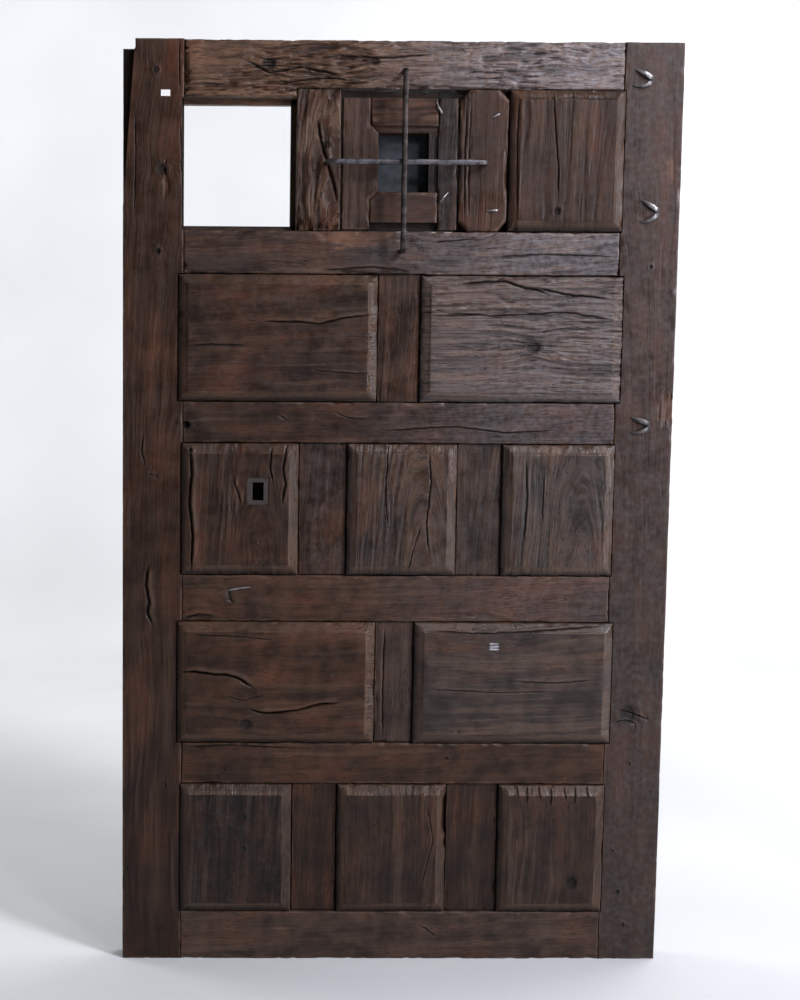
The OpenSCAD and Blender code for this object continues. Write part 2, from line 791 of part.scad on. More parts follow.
module wicket_bottom_rail() {
  color(wood) difference() {
    union() {
      plate(wicket_y, back)
        polygon([[free_inner, wicket_bot], [hinge_inner, wicket_bot], [hinge_inner, spy_bot],
                 [spy_l, spy_bot], [free_inner, spy_bot - free_stile_shoulder]]);
      intersection() {
        wicket_tenons(0);
        block(wicket_l, wicket_r, wicket_y, back, wicket_bot, spy_bot);
      }
    }
    block(free_inner - past, hinge_inner + past, wicket_y - past, wicket_y + margin_d,
          wicket_bot - past, wicket_bot + wicket_margin);
    wicket_hinge_shanks();
    sheet_nail_shanks();
  }
}

sheet_side = 13;                // how far the sheet reaches past the spyhole's sides
sheet_nail_inset = 5;
sheet_shank_r = 1;
sheet_nail_l = 11;
sheet_nail_h = 1.5;
sheet_x = [spy_l - sheet_side, spy_r + sheet_side];
sheet_z = [spy_bot - sheet_margin, spy_top + sheet_margin];
sheet_nail_spots = [for (x = [sheet_x[0] + sheet_nail_inset, sheet_x[1] - sheet_nail_inset],
                         z = [sheet_z[0] + sheet_nail_inset, sheet_z[1] - sheet_nail_inset])
                    [x, z]];

module sheet_nail_shanks() {
  for (p = sheet_nail_spots)
    rod_y(p[0], p[1], sheet_shank_r + peg_clear, back - sheet_nail_l - past, back + past);
}

module spyhole_sheet() {
  color(iron) difference() {
    block(sheet_x[0], sheet_x[1], back, back + sheet_t, sheet_z[0], sheet_z[1]);
    for (p = sheet_nail_spots)
      rod_y(p[0], p[1], sheet_shank_r + peg_clear, back - past, back + sheet_t + past);
  }
}

module spyhole_sheet_nails() {
  color(iron) for (p = sheet_nail_spots) {
    rod_y(p[0], p[1], sheet_shank_r, back - sheet_nail_l, back + sheet_t);
    rod_y(p[0], p[1], sheet_nail_r, back + sheet_t, back + sheet_t + sheet_nail_h);
  }
}

// Wicket hinges
plate_clear = 1;                // from a knuckle to the straight edge of its leaf
pin_head_h = 3;
pin_head_r = knuckle_r - 1;
module knuckle(z0, z1) {
  translate([hinge_x, hinge_y, z0]) difference() {
    cylinder(h = z1 - z0, r = knuckle_r);
    translate([0, 0, -past]) cylinder(h = z1 - z0 + 2 * past, r = hinge_pin_r + pin_clear);
  }
}

// A leaf plate from the axis; side is -1 on the wicket and +1 on the muntin
module leaf_plate(z, side, reach, zones) {
  h = leaf_plate_h / 2;
  clear = knuckle_r + plate_clear;
  difference() {
    union() {
      block(min(side * clear, side * reach) + hinge_x, max(side * clear, side * reach) + hinge_x,
            back, back + leaf_plate_t, z - h, z + h);
      for (s = zones)
        block(min(0, side * (clear + past)) + hinge_x, max(0, side * (clear + past)) + hinge_x,
              back + knuckle_lift, back + leaf_plate_t, s[0], s[1]);
    }
    for (s = zones)
      translate([hinge_x, hinge_y, s[0] - past])
        cylinder(h = s[1] - s[0] + 2 * past, r = hinge_pin_r + pin_clear);
    hinge_nail_holes();
  }
}

function mid_zone(z) = [[z - mid_knuckle_h / 2, z + mid_knuckle_h / 2]];
function end_zones(z) = [[z - leaf_plate_h / 2, z - mid_knuckle_h / 2 - knuckle_gap],
                         [z + mid_knuckle_h / 2 + knuckle_gap, z + leaf_plate_h / 2]];

function wicket_nail_spot(i) = [hinge_x - wicket_nail_x, hinge_zs[i] + hinge_nail_steps[i]];
function muntin_nail_spot(i) = [high(clipped_muntin_x, clipped_muntin_w) - muntin_nail_inset,
                                hinge_zs[i] - hinge_nail_steps[i]];

module hinge_nail_hole(p) {
  block(p[0] - nail_w / 2, p[0] + nail_w / 2, front - past, back + leaf_plate_t + past,
        p[1] - nail_w / 2, p[1] + nail_w / 2);
}
module wicket_hinge_shanks() for (i = [0, 1]) hinge_nail_hole(wicket_nail_spot(i));
module muntin_hinge_shanks() for (i = [0, 1]) hinge_nail_hole(muntin_nail_spot(i));
module hinge_nail_holes() {
  wicket_hinge_shanks();
  muntin_hinge_shanks();
}

module wicket_leaf(i) {
  color(iron) {
    leaf_plate(hinge_zs[i], -1, wicket_plate_l, mid_zone(hinge_zs[i]));
    for (s = mid_zone(hinge_zs[i])) knuckle(s[0], s[1]);
  }
}
module muntin_leaf(i) {
  color(iron) {
    leaf_plate(hinge_zs[i], 1, muntin_plate_l, end_zones(hinge_zs[i]));
    for (s = end_zones(hinge_zs[i])) knuckle(s[0], s[1]);
  }
}
module hinge_pin(i) {
  h = leaf_plate_h / 2;
  color(iron_worn) translate([hinge_x, hinge_y, hinge_zs[i]]) {
    translate([0, 0, -h]) cylinder(h = 2 * h, r = hinge_pin_r);
    translate([0, 0, h]) cylinder(h = pin_head_h, r = pin_head_r);
  }
}
module upper_hinge_wicket_leaf() wicket_leaf(0);
module upper_hinge_muntin_leaf() muntin_leaf(0);
module upper_hinge_pin() hinge_pin(0);
module lower_hinge_wicket_leaf() wicket_leaf(1);
module lower_hinge_muntin_leaf() muntin_leaf(1);
module lower_hinge_pin() hinge_pin(1);

// A nail from the back: head, shank, and its end clenched on the face at y0
module clenched_nail(x, z, y0, y1, length, angle) {
  rod_y(x, z, nail_head_r, y1, y1 + nail_head_h);
  block(x - nail_w / 2, x + nail_w / 2, y0, y1, z - nail_w / 2, z + nail_w / 2);
  plate(y0 - clench_t, y0) translate([x, z]) rotate(angle)
    polygon([[-nail_w / 2, -nail_w / 2], [length, -clench_tip / 2], [length, clench_tip / 2],
             [-nail_w / 2, nail_w / 2]]);
}

module wicket_hinge_nails() {
  clench_angles = [118, 50];
  color(iron_worn) for (i = [0, 1])
    clenched_nail(wicket_nail_spot(i)[0], wicket_nail_spot(i)[1], wicket_y,
                  back + leaf_plate_t, clench_l, clench_angles[i]);
}

module muntin_hinge_nails() {
  clench_angles = [205, 180];
  color(iron_worn) for (i = [0, 1])
    clenched_nail(muntin_nail_spot(i)[0], muntin_nail_spot(i)[1], front,
                  back + leaf_plate_t, clench_l, clench_angles[i]);
}

rail_nail_z = (row_4_top + row_3_bot) / 2 + rail_nail_rise;
module rail_nail_shank() {
  x = shoulder_l + rail_nail_x;
  block(x - nail_w / 2, x + nail_w / 2, front - past, back + past,
        rail_nail_z - nail_w / 2, rail_nail_z + nail_w / 2);
}
module rail_nail() {
  color(iron_worn)
    clenched_nail(shoulder_l + rail_nail_x, rail_nail_z, front, back, rail_clench_l,
                  rail_clench_slope);
}

// Grille: two square bars whose ends turn back into the wood
cross_z = row_1_bot + crossbar_rise;
upright_z0 = row_1_bot - upright_below;
cross_back = front - bar_stand_off;
cross_front = cross_back - bar_w;
upright_front = cross_front - bar_w;

module bar_end(x, z, y0) {
  block(x - bar_w / 2, x + bar_w / 2, y0, front + bar_bite, z - bar_w / 2, z + bar_w / 2);
}
module grille_ends() {
  for (z = [upright_z0 + bar_w / 2, upright_z0 + upright_h - bar_w / 2])
    bar_end(upright_x, z, front - past);
  for (x = [crossbar_x - crossbar_w / 2 + bar_w / 2, crossbar_x + crossbar_w / 2 - bar_w / 2])
    bar_end(x, cross_z, front - past);
}
module grille_upright() {
  color(iron) {
    block(upright_x - bar_w / 2, upright_x + bar_w / 2, upright_front, upright_front + bar_w,
          upright_z0, upright_z0 + upright_h);
    for (z = [upright_z0 + bar_w / 2, upright_z0 + upright_h - bar_w / 2])
      bar_end(upright_x, z, upright_front);
  }
}
module grille_crossbar() {
  x0 = crossbar_x - crossbar_w / 2;
  x1 = crossbar_x + crossbar_w / 2;
  color(iron_worn) {
    block(x0, x1, cross_front, cross_back, cross_z - bar_w / 2, cross_z + bar_w / 2);
    for (x = [x0 + bar_w / 2, x1 - bar_w / 2]) bar_end(x, cross_z, cross_front);
  }
}

// Hinge eyes: an eye behind the stile, a shank through it, two legs spread on its front
module hinge_eye(e) {
  eye_y = back + eye_lift + eye_r;
  leg_taper = leg_l * 0.7;
  color(iron_worn) {
    difference() {
      union() {
        translate([e[1], eye_y, e[0] - eye_h / 2]) cylinder(h = eye_h, r = eye_r);
        block(e[1] - shank_w / 2, e[1] + shank_w / 2, front, eye_y - eye_bore_r,
              e[0] - shank_h / 2, e[0] + shank_h / 2);
      }
      translate([e[1], eye_y, e[0] - eye_h / 2 - past])
        cylinder(h = eye_h + 2 * past, r = eye_bore_r);
    }
    for (angle = e[2])
      plate(front - leg_t, front) translate([e[1], e[0]]) rotate(angle)
        polygon([[-shank_w / 2, -shank_w / 2], [leg_taper, -leg_w / 2], [leg_l, -leg_tip / 2],
                 [leg_l, leg_tip / 2], [leg_taper, leg_w / 2], [-shank_w / 2, shank_w / 2]]);
  }
}
module hinge_eye_top() hinge_eye(eyes[0]);
module hinge_eye_middle() hinge_eye(eyes[1]);
module hinge_eye_low() hinge_eye(eyes[2]);

// Keyhole: a square hole through the panel, and the shallow mortise for its plate
key_plate_y = field_y + key_plate_sunk - key_plate_t;
module about_key(w, h, y0, y1) {
  block(key_x - w / 2, key_x + w / 2, y0, y1, key_z - h / 2, key_z + h / 2);
}
module keyhole() {
  about_key(keyhole_w, keyhole_h, field_y - past, back + past);
  about_key(key_plate_w, key_plate_h, field_y - past, field_y + key_plate_sunk);
}
plate_nail_inset = 4;
plate_nail_head = 1.2;
plate_nail_spots = [for (x = [-1, 1], z = [-1, 1])
                    [key_x + x * (key_plate_w / 2 - plate_nail_inset),
                     key_z + z * (key_plate_h / 2 - plate_nail_inset)]];
module keyhole_plate() {
  color(iron) difference() {
    about_key(key_plate_w, key_plate_h, key_plate_y, key_plate_y + key_plate_t);
    about_key(keyhole_w, keyhole_h, key_plate_y - past, key_plate_y + key_plate_t + past);
  }
}
module keyhole_plate_nails() {
  color(iron_worn) for (p = plate_nail_spots)
    rod_y(p[0], p[1], key_nail_r, key_plate_y - plate_nail_head, key_plate_y);
}

// Rim lock on the back
lock_nail_xs = [case_l + lock_nail_first, (case_l + case_r) / 2, case_r - lock_nail_last];
lock_nail_zs = [case_bot - flange_w / 2, case_top + flange_w / 2];
lock_nail_spots = [for (x = lock_nail_xs, z = lock_nail_zs) [x, z]];
module lock_nail_shanks() {
  for (p = lock_nail_spots)
    rod_y(p[0], p[1], nail_w / 2 + peg_clear, back - lock_nail_l - blind_gap,
          back + case_t + past);
}
module bolt_path(grow) {
  block(left - past, key_x + bolt_tail + 2 * blind_gap, bolt_y - grow, bolt_y + bolt_t + grow,
        bolt_z - grow, bolt_z + bolt_h + grow);
}
module lock_case() {
  guide_x = key_x + guide_rise;
  color(iron) difference() {
    union() {
      difference() {
        block(case_l, case_r, back, back + case_d, case_bot, case_top);
        block(case_l + case_t, case_r - case_t, back - past, back + case_d - case_t,
              case_bot + case_t, case_top - case_t);
      }
      block(case_l, case_r, back, back + case_t, case_bot - flange_w, case_bot);
      block(case_l, case_r, back, back + case_t, case_top, case_top + flange_w);
      // The bolt's guide, standing on the cover
      block(guide_x, guide_x + guide_l, bolt_y - guide_cover, back + case_d - case_t,
            bolt_z - guide_wrap, bolt_z + bolt_h + guide_wrap);
    }
    bolt_path(bolt_clear);
    lock_nail_shanks();
  }
}
module lock_bolt() {
  color(iron_worn) plate(bolt_y, bolt_y + bolt_t)
    polygon([[left, bolt_z], [key_x - talon_w / 2, bolt_z],
             [key_x - talon_top_w / 2, bolt_z + talon_d],
             [key_x + talon_top_w / 2, bolt_z + talon_d], [key_x + talon_w / 2, bolt_z],
             [key_x + bolt_tail, bolt_z], [key_x + bolt_tail, bolt_z + bolt_h],
             [left, bolt_z + bolt_h]]);
}
module lock_spring() {
  x0 = (case_l + key_x) / 2;
  foot = spring_l / 4;
  z0 = bolt_z + bolt_h + spring_gap;
  z1 = case_top - case_t;
  color(iron_worn) plate(bolt_y, bolt_y + bolt_t)
    polygon([[x0, z1 - spring_t], [x0 + foot, z1 - spring_t], [x0 + spring_l, z0],
             [x0 + spring_l, z0 + spring_t], [x0 + foot, z1], [x0, z1]]);
}
module lock_case_nails() {
  color(iron) for (p = lock_nail_spots) {
    rod_y(p[0], p[1], nail_w / 2, back - lock_nail_l, back + case_t);
    rod_y(p[0], p[1], lock_nail_head_r, back + case_t, back + case_t + lock_nail_head_h);
  }
}

// Wooden turn button behind the wicket's free edge, upright when the wicket is free
module turn_button_shank() {
  rod_y(button_x, button_z, pivot_r + pin_clear, back - pivot_nail_l - blind_gap, back + past);
}
module turn_button() {
  y0 = back + button_clear;
  half = button_l / 2 - button_w / 2;
  color(wood_dark) difference() {
    union() {
      block(button_x - button_w / 2, button_x + button_w / 2, y0, y0 + button_t,
            button_z - half, button_z + half);
      for (side = [-1, 1])
        rod_y(button_x, button_z + side * half, button_w / 2, y0, y0 + button_t);
    }
    rod_y(button_x, button_z, pivot_r + pin_clear, y0 - past, y0 + button_t + past);
  }
}
module turn_button_nail() {
  y1 = back + 2 * button_clear + button_t;
  color(iron) {
    rod_y(button_x, button_z, pivot_r, back - pivot_nail_l, y1);
    rod_y(button_x, button_z, nail_head_r, y1, y1 + nail_head_h);
  }
}

module paper_tag() {
  x = left + tag_inset;
  z = leaf_h - tag_drop;
  color(paper) block(x - tag_w / 2, x + tag_w / 2, front - tag_t, front,
                     z - tag_h / 2, z + tag_h / 2);
}

lock_stile();
hanging_stile();
top_rail();
second_rail();
third_rail();
fourth_rail();
fifth_rail();
bottom_rail();
muntin_1();
clipped_muntin();
muntin_2();
muntin_3_left();
muntin_3_right();
muntin_4();
muntin_5_left();
muntin_5_right();
panel_1();
panel_2_left();
panel_2_right();
panel_3_left();
panel_3_middle();
panel_3_right();
panel_4_left();
panel_4_right();
panel_5_left();
panel_5_middle();
panel_5_right();
tenon_pegs();
wicket_free_stile();
wicket_hinge_stile();
wicket_top_rail();
wicket_bottom_rail();
spyhole_sheet();
spyhole_sheet_nails();
upper_hinge_wicket_leaf();
upper_hinge_muntin_leaf();
upper_hinge_pin();
lower_hinge_wicket_leaf();
lower_hinge_muntin_leaf();
lower_hinge_pin();
wicket_hinge_nails();
muntin_hinge_nails();
grille_upright();
grille_crossbar();
keyhole_plate();
keyhole_plate_nails();
lock_case();
lock_bolt();
lock_spring();
lock_case_nails();
rail_nail();
hinge_eye_top();
hinge_eye_middle();
hinge_eye_low();
turn_button();
turn_button_nail();
paper_tag();
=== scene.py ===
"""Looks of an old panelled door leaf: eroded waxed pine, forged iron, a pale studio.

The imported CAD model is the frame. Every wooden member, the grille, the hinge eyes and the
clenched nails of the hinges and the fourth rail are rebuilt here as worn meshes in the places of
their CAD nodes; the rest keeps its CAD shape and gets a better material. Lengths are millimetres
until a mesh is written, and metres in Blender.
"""

import logging
import math
from dataclasses import dataclass, field
from enum import Enum
from functools import partial
from typing import Optional, Sequence, Union

import bmesh
import bpy
import numpy as np
from bmesh.types import BMEdge, BMesh, BMVert
from bpy.types import Material
from mathutils import Matrix, Vector


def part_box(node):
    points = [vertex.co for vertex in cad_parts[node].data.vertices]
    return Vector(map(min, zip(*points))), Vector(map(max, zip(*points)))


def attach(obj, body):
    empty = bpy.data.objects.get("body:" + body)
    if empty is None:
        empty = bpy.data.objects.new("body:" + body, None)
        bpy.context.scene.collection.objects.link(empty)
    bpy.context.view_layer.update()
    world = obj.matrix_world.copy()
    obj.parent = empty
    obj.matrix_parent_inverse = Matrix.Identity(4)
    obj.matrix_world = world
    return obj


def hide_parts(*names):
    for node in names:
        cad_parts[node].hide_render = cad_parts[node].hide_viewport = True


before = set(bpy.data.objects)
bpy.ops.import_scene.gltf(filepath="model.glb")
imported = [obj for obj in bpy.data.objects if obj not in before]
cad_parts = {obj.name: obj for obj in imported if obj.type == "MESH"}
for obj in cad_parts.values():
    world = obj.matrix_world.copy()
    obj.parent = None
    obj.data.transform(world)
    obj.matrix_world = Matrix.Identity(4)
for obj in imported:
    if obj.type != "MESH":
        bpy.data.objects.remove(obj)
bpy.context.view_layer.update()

LOG = logging.getLogger("door")
MM = 0.001

# How the members are cut, in millimetres, as the CAD model has them: the frame's face and back;
# how far a back part reaches behind its neighbour and where that step lies; what a panel and a
# muntin have inside the frame; the panels' bevel; how far the panels lap over the stiles. Last,
# how far the outline of a cut step runs past the board's edge
FACE_Y = -25.0
BACK_Y = 25.0
BACK_LIP = 10.0
LIP_Y = 6.0
TONGUE = 8.0
MUNTIN_TENON = 28.0
PANEL_GAP = 1.2
BEVEL = 20.0
BEVEL_DROP = 10.0
WIDE_LAP = 11.0
NARROW_LAP = 4.0
STEP_PAST = 9.0

# How the worn meshes are made, in millimetres: the arris round the back; the division lines
# beside a board's ends and the strip they take up; half the slope of a step's wall; what counts
# as lying on the rim, as one place, and as far away
BACK_ARRIS = 2.0
RIM_MARKS = (0.8, 2.0, 3.8)
RIM_WIDTH = 5.0
STEP_WALL = 0.15
RIM_NEAR = 0.6
MERGE = 0.01
FAR = 1e9

# How far each board's grain pattern is moved from the last one's, in metres
GRAIN_SHIFT = 0.731

# Edges sharper than this are drawn sharp, in degrees
BOARD_CREASE = 62
FORGED_CREASE = 50

# How many sides a forged section has
SECTION_SIDES = 12

Array = np.ndarray
Point = tuple[float, float]
Point3 = tuple[float, float, float]
Rect = tuple[float, float, float, float]
Input = Union[bpy.types.NodeSocket, float, Sequence[float]]

# Settings of the nodes that are used most
ADD = {"operation": "ADD"}
SUBTRACT = {"operation": "SUBTRACT"}
MULTIPLY = {"operation": "MULTIPLY"}
MULTIPLY_ADD = {"operation": "MULTIPLY_ADD"}
LARGER = {"operation": "MAXIMUM"}
ABSOLUTE = {"operation": "ABSOLUTE"}
BLEND = {"data_type": "RGBA"}
DARKEN = {"data_type": "RGBA", "blend_type": "MULTIPLY"}


@dataclass(frozen=True)
class Box:
    """A node's box in millimetres."""

    x0: float
    x1: float
    y0: float
    y1: float
    z0: float
    z1: float


def cad(node: str) -> Box:
    """Reads a CAD node's box.

    Args:
        node: The node's name.

    Returns:
        Its lowest and highest corners, in millimetres.
    """
    lo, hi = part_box(node)
    return Box(*(round(v / MM, 3) for v in (lo.x, hi.x, lo.y, hi.y, lo.z, hi.z)))


def linear(hex_colour: str) -> tuple[float, float, float, float]:
    """Turns an sRGB hex colour into the linear colour that a shader reads.

    Args:
        hex_colour: Such as "#5A4033".

    Returns:
        Red, green, blue and an alpha of 1.
    """
    parts = [int(hex_colour[i:i + 2], 16) / 255 for i in (1, 3, 5)]
    return (*(c / 12.92 if c <= 0.04045 else ((c + 0.055) / 1.055) ** 2.4 for c in parts), 1.0)


def only(made: Sequence[Union[BMVert, BMEdge]], kind: type) -> list:
    """Picks the elements of one kind from what a bmesh operator made."""
    return [element for element in made if isinstance(element, kind)]


# ---- Noise over arrays, for relief and for where wear falls


def lattice(i: Array, j: Array, seed: int) -> Array:
    """Gives each lattice point a fixed random value.

    Args:
        i: Whole numbers along the first axis.
        j: Whole numbers along the second axis.
        seed: Which noise this is.

    Returns:
        Values from 0 to 1.
    """
    # Large odd numbers scatter neighbouring points over the whole range
    n = (i * 374761393 + j * 668265263 + seed * 974634777) & 0xFFFFFFFF
    n = ((n ^ (n >> 13)) * 1274126177) & 0xFFFFFFFF
    return ((n ^ (n >> 16)) & 0xFFFF) / 65535.0


def noise(u: Array, v: Array, seed: int) -> Array:
    """Smooth noise with features about one unit across.

    Args:
        u: First coordinate.
        v: Second coordinate.
        seed: Which noise this is.

    Returns:
        Values from 0 to 1.
    """
    i, j = np.floor(u).astype(np.int64), np.floor(v).astype(np.int64)
    a, b = u - i, v - j
    a, b = a * a * (3 - 2 * a), b * b * (3 - 2 * b)
    low = lattice(i, j, seed) * (1 - a) + lattice(i + 1, j, seed) * a
    high = lattice(i, j + 1, seed) * (1 - a) + lattice(i + 1, j + 1, seed) * a
    return low * (1 - b) + high * b


def fbm(u: Array, v: Array, seed: int, octaves: int = 3) -> Array:
    """Layered noise.

    Args:
        u: First coordinate.
        v: Second coordinate.
        seed: Which noise this is.
        octaves: How many layers, each twice as fine as the last.

    Returns:
        Values from 0 to 1.
    """
    total, weight, scale = np.zeros_like(u, float), 0.0, 1.0
    for octave in range(octaves):
        share = 0.5 ** octave
        total += share * noise(u * scale, v * scale, seed + 101 * octave)
        weight += share
        scale *= 2.03
    return total / weight


def ease(x: Array, low: float, high: float) -> Array:
    """Smooth step from 0 at low to 1 at high."""
    t = np.clip((x - low) / (high - low), 0, 1)
    return t * t * (3 - 2 * t)


# ---- Materials


def add(tree: bpy.types.NodeTree, kind: str, settings: Optional[dict] = None, *values: Input,
        out: Union[int, str] = 0, **named: Input) -> bpy.types.NodeSocket:
    """Adds one node with its settings and links.

    Args:
        tree: The node tree.
        kind: The node's type name without "ShaderNode".
        settings: Attributes of the node; "stops" gives a colour ramp's (position, hex) pairs.
        *values: What its first sockets take: another node's output, or a value.
        out: Which of its outputs is wanted.
        **named: The same by a socket's name with _ for a space, or by i and its number.

    Returns:
        The wanted output, or the first input of a node that has no outputs.
    """
    node = tree.nodes.new(f"ShaderNode{kind}")
    for key, value in (settings or {}).items():
        if key == "stops":
            for element, (position, colour) in zip(node.color_ramp.elements, value):
                element.position = position
                element.color = linear(colour)
        else:
            setattr(node, key, value)
    for key, value in [*enumerate(values), *named.items()]:
        if isinstance(key, str):
            key = int(key[1:]) if key[1:].isdigit() else key.replace("_", " ")
        if isinstance(value, bpy.types.NodeSocket):
            tree.links.new(value, node.inputs[key])
        else:
            node.inputs[key].default_value = value
    return node.outputs[out] if len(node.outputs) else node.inputs[0]


def new_material(name: str) -> tuple[Material, bpy.types.NodeTree, bpy.types.Node]:
    """Starts a node material.

    Args:
        name: The material's name.

    Returns:
        The material, its tree and its Principled shader, already linked to the output.
    """
    material = bpy.data.materials.new(name)
    material.use_nodes = True
    tree = material.node_tree
    tree.nodes.clear()
    surface = add(tree, "BsdfPrincipled")
    add(tree, "OutputMaterial", {}, surface)
    return material, tree, surface.node


class Tone(Enum):
    """The wood's colour for each board, from dark to pale."""

    SHADE = "#1F130D"
    UMBER = "#2F1C11"
    BROWN = "#332016"
    WARM = "#3B2416"
    GREY = "#382A23"
    PALE = "#48362D"
    GOLD = "#5A3F2C"


@dataclass(frozen=True)
class OldPine:
    """Old waxed pine, planed by hand and weathered.

    The soft early wood has worn away between hard, shiny late-wood lines, so it reads as fine
    long ridges with a low sheen on top and dull dark dirt with painted shade between them.
    Red-brown wax lies on it in clouds, and a grey film where it was handled least.

    Red, film, checks and the sheen are shares from 0 to 1: the red stain, the grey film, the drying
    checks and a painted sheen, a pale highlight painted towards the right in place of the lamps'
    reflection. Figure is how strong the rings are, gloss the roughness before wear and dirt, polish
    the specular level, and evenness how little the tone changes. The lengths are a ring's width, a
    fine streak's width, how far the rings run, and the relief's height.
    """

    name: str
    tone: Tone = Tone.BROWN
    red: float = 0.45
    film: float = 0.3
    gloss: float = 0.44
    figure: float = 0.36
    ring_mm: float = 3.6
    fine_mm: float = 1.3
    run_mm: float = 130.0
    relief_mm: float = 0.9
    checks: float = 0.5
    painted_sheen: float = 0.0
    polish: float = 0.22
    evenness: float = 0.22

    def build(self) -> Material:
        """Builds the material.

        Returns:
            The finished material.
        """
        material, tree, shader = new_material(self.name)
        node = partial(add, tree)
        grain = node("Attribute", {"attribute_name": "grain"}, out="Vector")
        masks = node("Attribute", {"attribute_name": "masks"}, out="Vector")
        wear, cavity, raw = node("SeparateXYZ", {}, masks).node.outputs
        paint = node("Attribute", {"attribute_name": "paint"}, out="Fac")
        here = node("TexCoord", out="Object")
        side, _, up = node("SeparateXYZ", {}, here).node.outputs

        # Patterns drawn out along the grain: length and width in millimetres, detail, roughness
        drawn = []
        for along, across, detail, rough in (
                (self.run_mm, self.ring_mm, 2.0, 0.5), (self.run_mm * 0.3, self.fine_mm, 2.0, 0.6),
                (self.run_mm * 2.2, 30.0, 3.0, 0.55), (110.0, 8.0, 3.0, 0.6)):
            scale = (1 / (along * MM), 1 / (across * MM), 1 / (across * MM))
            mapped = node("Mapping", {}, grain, Scale=scale)
            drawn.append(node("TexNoise", {}, mapped, Scale=1.0, Detail=detail, Roughness=rough))
        rings, fine, broad, lines = drawn
        # Round patterns: their size in millimetres and their detail
        small, smudge, large = (
            node("TexNoise", {}, here, Scale=1 / (size * MM), Detail=detail, Roughness=0.6)
            for size, detail in ((11.0, 3.0), (38.0, 3.0), (120.0, 4.0)))

        # Fine drying checks, in patches
        check = node("Math", ABSOLUTE, node("Math", SUBTRACT, lines, 0.5))
        check = node("MapRange", {}, check, 0.0, 0.014, 1.0, 0.0)
        patch = 0.7 - 0.12 * self.checks
        where = node("Math", MULTIPLY_ADD, small, 0.3, large)
        where = node("MapRange", {}, where, patch, patch + 0.06, 0.0, min(1.0, 0.4 + self.checks))
        check = node("Math", MULTIPLY, check, where)

        # How light the wood is: rings, streaks and clouds, and painted shade darker towards the
        # floor
        shares = ((fine, 0.2), (broad, 0.6), (large, 1.0), (smudge, 1.0))
        shade = node("Math", MULTIPLY, rings, self.figure)
        for part, share in shares:
            shade = node("Math", MULTIPLY_ADD, part, share, shade)
        centre = 0.5 * (self.figure + sum(share for _, share in shares))
        shade = node("MapRange", {}, shade, centre - self.evenness, centre + self.evenness,
                     0.5, 1.5)
        # Painted shade: the wood darkens towards the floor
        shade = node("Math", MULTIPLY, shade, node("MapRange", {}, up, 0.0, 1.5, 0.6, 1.0))
        shade = node("CombineColor", {}, shade, shade, shade)

        # Its colour: red stain in streaks, a grey film in clouds, a pale painted sheen to the right
        own = linear(self.tone.value)
        red = node("Mix", BLEND, i0=0.75, i6=own, i7=linear("#4A2A1B"), out=2)
        cool = node("Mix", BLEND, i0=0.5, i6=own, i7=linear("#47403F"), out=2)
        stain = node("Math", MULTIPLY_ADD, broad, 0.5, node("Math", MULTIPLY, large, 0.5))
        stain = node("MapRange", {}, stain, 0.5, 0.62, 0.0, self.red)
        film = node("Math", MULTIPLY_ADD, large, -0.5, small)
        film = node("MapRange", {}, film, 0.18, 0.42, 0.0, self.film)
        # Painted sheen: a pale grey highlight painted in flecks towards the right, in place of the
        # lamps' reflection
        painted_sheen = node("MapRange", {}, side, -0.12, 0.27, 0.0, self.painted_sheen)
        sheen_flecks = node("MapRange", {}, node("Math", ADD, fine, small), 0.72, 1.2)
        painted_sheen = node("Math", MULTIPLY, painted_sheen, sheen_flecks)
        fresh = node("Mix", DARKEN, i0=0.6, i6=linear("#83583C"), i7=shade, out=2)
        # Dirt and painted shade in the hollows, cracks, steps and edges, with the fine checks
        dirt_and_shade = node("Math", LARGER, cavity, node("Math", MULTIPLY, check, 0.9))
        colour = node("Mix", BLEND, i0=stain, i6=own, i7=red, out=2)
        colour = node("Mix", BLEND, i0=film, i6=colour, i7=cool, out=2)
        colour = node("Mix", DARKEN, i0=1.0, i6=colour, i7=shade, out=2)
        dried = node("MapRange", {}, fine, 0.4, 0.5)
        # Laid over it: the painted sheen, raw wood, wear (on the bevels also a painted highlight),
        # dirt with painted shade, and paint
        for share, over in (
                (painted_sheen, linear("#8E8A8F")),
                (node("Math", MULTIPLY, raw, 0.8), fresh),
                (node("Math", MULTIPLY, wear, 0.42), linear("#6E5848")),
                (node("Math", MULTIPLY, dirt_and_shade, 0.92), linear("#0E0907")),
                (node("Math", MULTIPLY, paint, dried), linear("#A9A8B0"))):
            colour = node("Mix", BLEND, i0=share, i6=colour, i7=over, out=2)
        tree.links.new(colour, shader.inputs["Base Color"])

        # Its gloss: wax in clouds, duller in dirt and painted shade, polished where it is rubbed
        rough = node("Math", MULTIPLY_ADD, fine, 0.4, node("Math", MULTIPLY, smudge, 0.6))
        rough = node("MapRange", {}, rough, 0.4, 0.6, self.gloss - 0.12, self.gloss + 0.16)
        rough = node("Math", MULTIPLY_ADD, dirt_and_shade, 0.35, rough)
        rough = node("Math", MULTIPLY_ADD, wear, -0.18, rough)
        tree.links.new(rough, shader.inputs["Roughness"])
        height = rings
        for part, share in ((fine, 0.45), (small, 0.5), (check, -0.8)):
            height = node("Math", MULTIPLY_ADD, part, share, height)
        bump = node("Bump", {}, Strength=1.0, Distance=self.relief_mm * MM, Height=height)
        tree.links.new(bump, shader.inputs["Normal"])
        shader.inputs["IOR"].default_value = 1.5
        shader.inputs["Specular IOR Level"].default_value = self.polish
        return material


